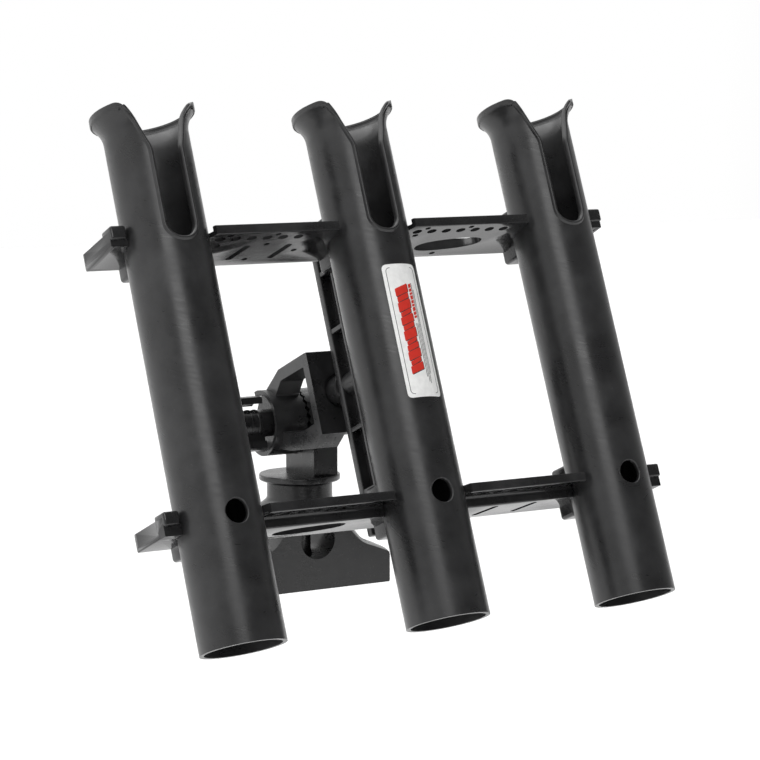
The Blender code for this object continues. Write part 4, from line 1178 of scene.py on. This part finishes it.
def pedestal():
    """A flared body with flat front and back, a cross bore, the stem's bore and four screw holes."""
    flare = [(25.2, 52.4), (28.9, 46.5), (32.0, 40.0), (35.3, 34.2), (41.0, 27.6), (49.8, 23.4)]
    flare = [Vector((r * MM, z * MM)) for r, z in flare + [(56.4, 20.4)]]
    smooth = []
    for index in range(len(flare) - 1):
        before = flare[max(index - 1, 0)]
        one, two = flare[index], flare[index + 1]
        after = flare[min(index + 2, len(flare) - 1)]
        for step in range(5):
            t = step / 5
            bend = (2 * one + (two - before) * t + (2 * before - 5 * one + 4 * two - after) * t**2
                    + (3 * one - before - 3 * two + after) * t**3)
            smooth.append(tuple(bend / 2))
    profile = [(0.0, NECK_TOP)]
    profile += arc((NECK_RADIUS - 1.3 * MM, NECK_TOP - 1.3 * MM), 1.3 * MM, 90.0, 0.0, 6)
    profile += [(NECK_RADIUS, 57.4 * MM), (NECK_RADIUS + 0.3 * MM, 55.9 * MM)]
    profile += [(NECK_RADIUS + 1.5 * MM, 54.5 * MM)] + smooth
    profile += [tuple(flare[-1]), (BASE_RADIUS - 0.4 * MM, 19.4 * MM), (BASE_RADIUS, 18.0 * MM)]
    profile += [(BASE_RADIUS, 0.6 * MM), (BASE_RADIUS - 0.6 * MM, 0.0), (0.0, 0.0)]
    body = revolved("Z", (0.0, 0.0, 0.0), profile, 144)
    reach = 0.1
    front = block((-reach, -reach, -0.01), (reach, -BASE_HALF_DEPTH, reach))
    back = block((-reach, BASE_HALF_DEPTH, -0.01), (reach, reach, reach))
    cut(body, front, back, rod("Z", -0.01, reach, STEM_RADIUS + GAP, 72))
    cut(body, rod("Z", -0.01, STEM_END, 15.0 * MM, 72))
    tools = [rod("Y", -0.05, 0.05, BORE_RADIUS, 96, (0.0, BORE_HEIGHT))]
    for x, y in MOUNT_HOLES:
        tools.append(rod("Z", -0.01, reach, 2.7 * MM, 40, (x * MM, y * MM)))
    cut(body, *tools)
    eased(body, 0.6 * MM, 40.0, 3)
    piece(body, "pedestal_look", HERE, base_plastic, "base", ["pedestal_base"], "plastic", 30.0)


for tube_node, tube_x in zip(TUBE_NODES, TUBE_X):
    rod_tube(tube_node, tube_x)
shelf("upper_shelf", BAY_X[0])
shelf("lower_shelf", BAY_X[1])
spine()
tilt_bracket()
clamp_fasteners()
spine_screws()
stem_fasteners()
tilt_fasteners()
label()
swivel_post()
tilt_knob()
pedestal()


# ---- stage


floor_white, _, shader = shader_of("floor_white")
shader.inputs["Base Color"].default_value = (0.90, 0.90, 0.90, 1.0)
shader.inputs["Roughness"].default_value = 0.9
shader.inputs["Specular IOR Level"].default_value = 0.1

# The part hangs over the edge of what it is screwed to, so the floor lies well below the upright tubes.
FLOOR_DROP = 240.0 * MM
floor_mesh = bpy.data.meshes.new("floor")
side = 6.0
corners = [(-side, -side, 0), (side, -side, 0), (side, side, 0), (-side, side, 0)]
floor_mesh.from_pydata(corners, [], [(0, 1, 2, 3)])
floor = link("floor", floor_mesh)
floor.location.z = cad_box[0].z - FLOOR_DROP
floor.data.materials.append(floor_white)


middle = (cad_box[0] + cad_box[1]) / 2
soft_data = bpy.data.lights.new("front_soft", "AREA")
soft_data.shape = "RECTANGLE"
soft_data.size = 1.1
soft_data.size_y = 0.8
soft_data.energy = 11.0
soft = link("front_soft", soft_data)
soft.location = (-0.9, -1.7, 1.5)
soft.rotation_mode = "QUATERNION"
soft.rotation_quaternion = (middle - soft.location).to_track_quat("-Z", "Y")
sun_data = bpy.data.lights.new("overhead", "SUN")
sun_data.energy = 2.2
sun_data.angle = math.radians(80.0)
sun = link("overhead", sun_data)
sun.rotation_euler = (math.radians(-18.0), math.radians(-14.0), 0.0)

world = bpy.data.worlds.new("studio")
scene.world = world
world.use_nodes = True
sky = world.node_tree
backdrop = sky.nodes["Background"]
direction = add(sky, "ShaderNodeTexCoord")
parts = add(sky, "ShaderNodeSeparateXYZ")
sky.links.new(direction.outputs["Generated"], parts.inputs["Vector"])
behind = math_node(sky, "MULTIPLY", parts.outputs["Y"], 0.80)
facing = math_node(sky, "ADD", behind, math_node(sky, "MULTIPLY", parts.outputs["X"], -0.45))
ramp = math_node(sky, "POWER", ranged(sky, facing, 0.0, 1.0, -0.95, 0.35), 1.5)
sky.links.new(ranged(sky, ramp, 0.10, 1.0), backdrop.inputs["Strength"])
backdrop.inputs["Color"].default_value = (1.0, 1.0, 1.0, 1.0)

camera_data = bpy.data.cameras.new("camera")
camera = link("camera", camera_data)
camera_data.sensor_width = 36.0
camera_data.lens = 120.27
YAW = math.radians(30.55)
RISE = math.radians(7.08)
camera.location = (-0.7702, -1.4061, 0.3305)
camera.rotation_euler = (math.radians(90.0) - RISE, 0.0, -YAW)
scene.camera = camera
scene.view_settings.view_transform = "Standard"

bpy.context.view_layer.update()
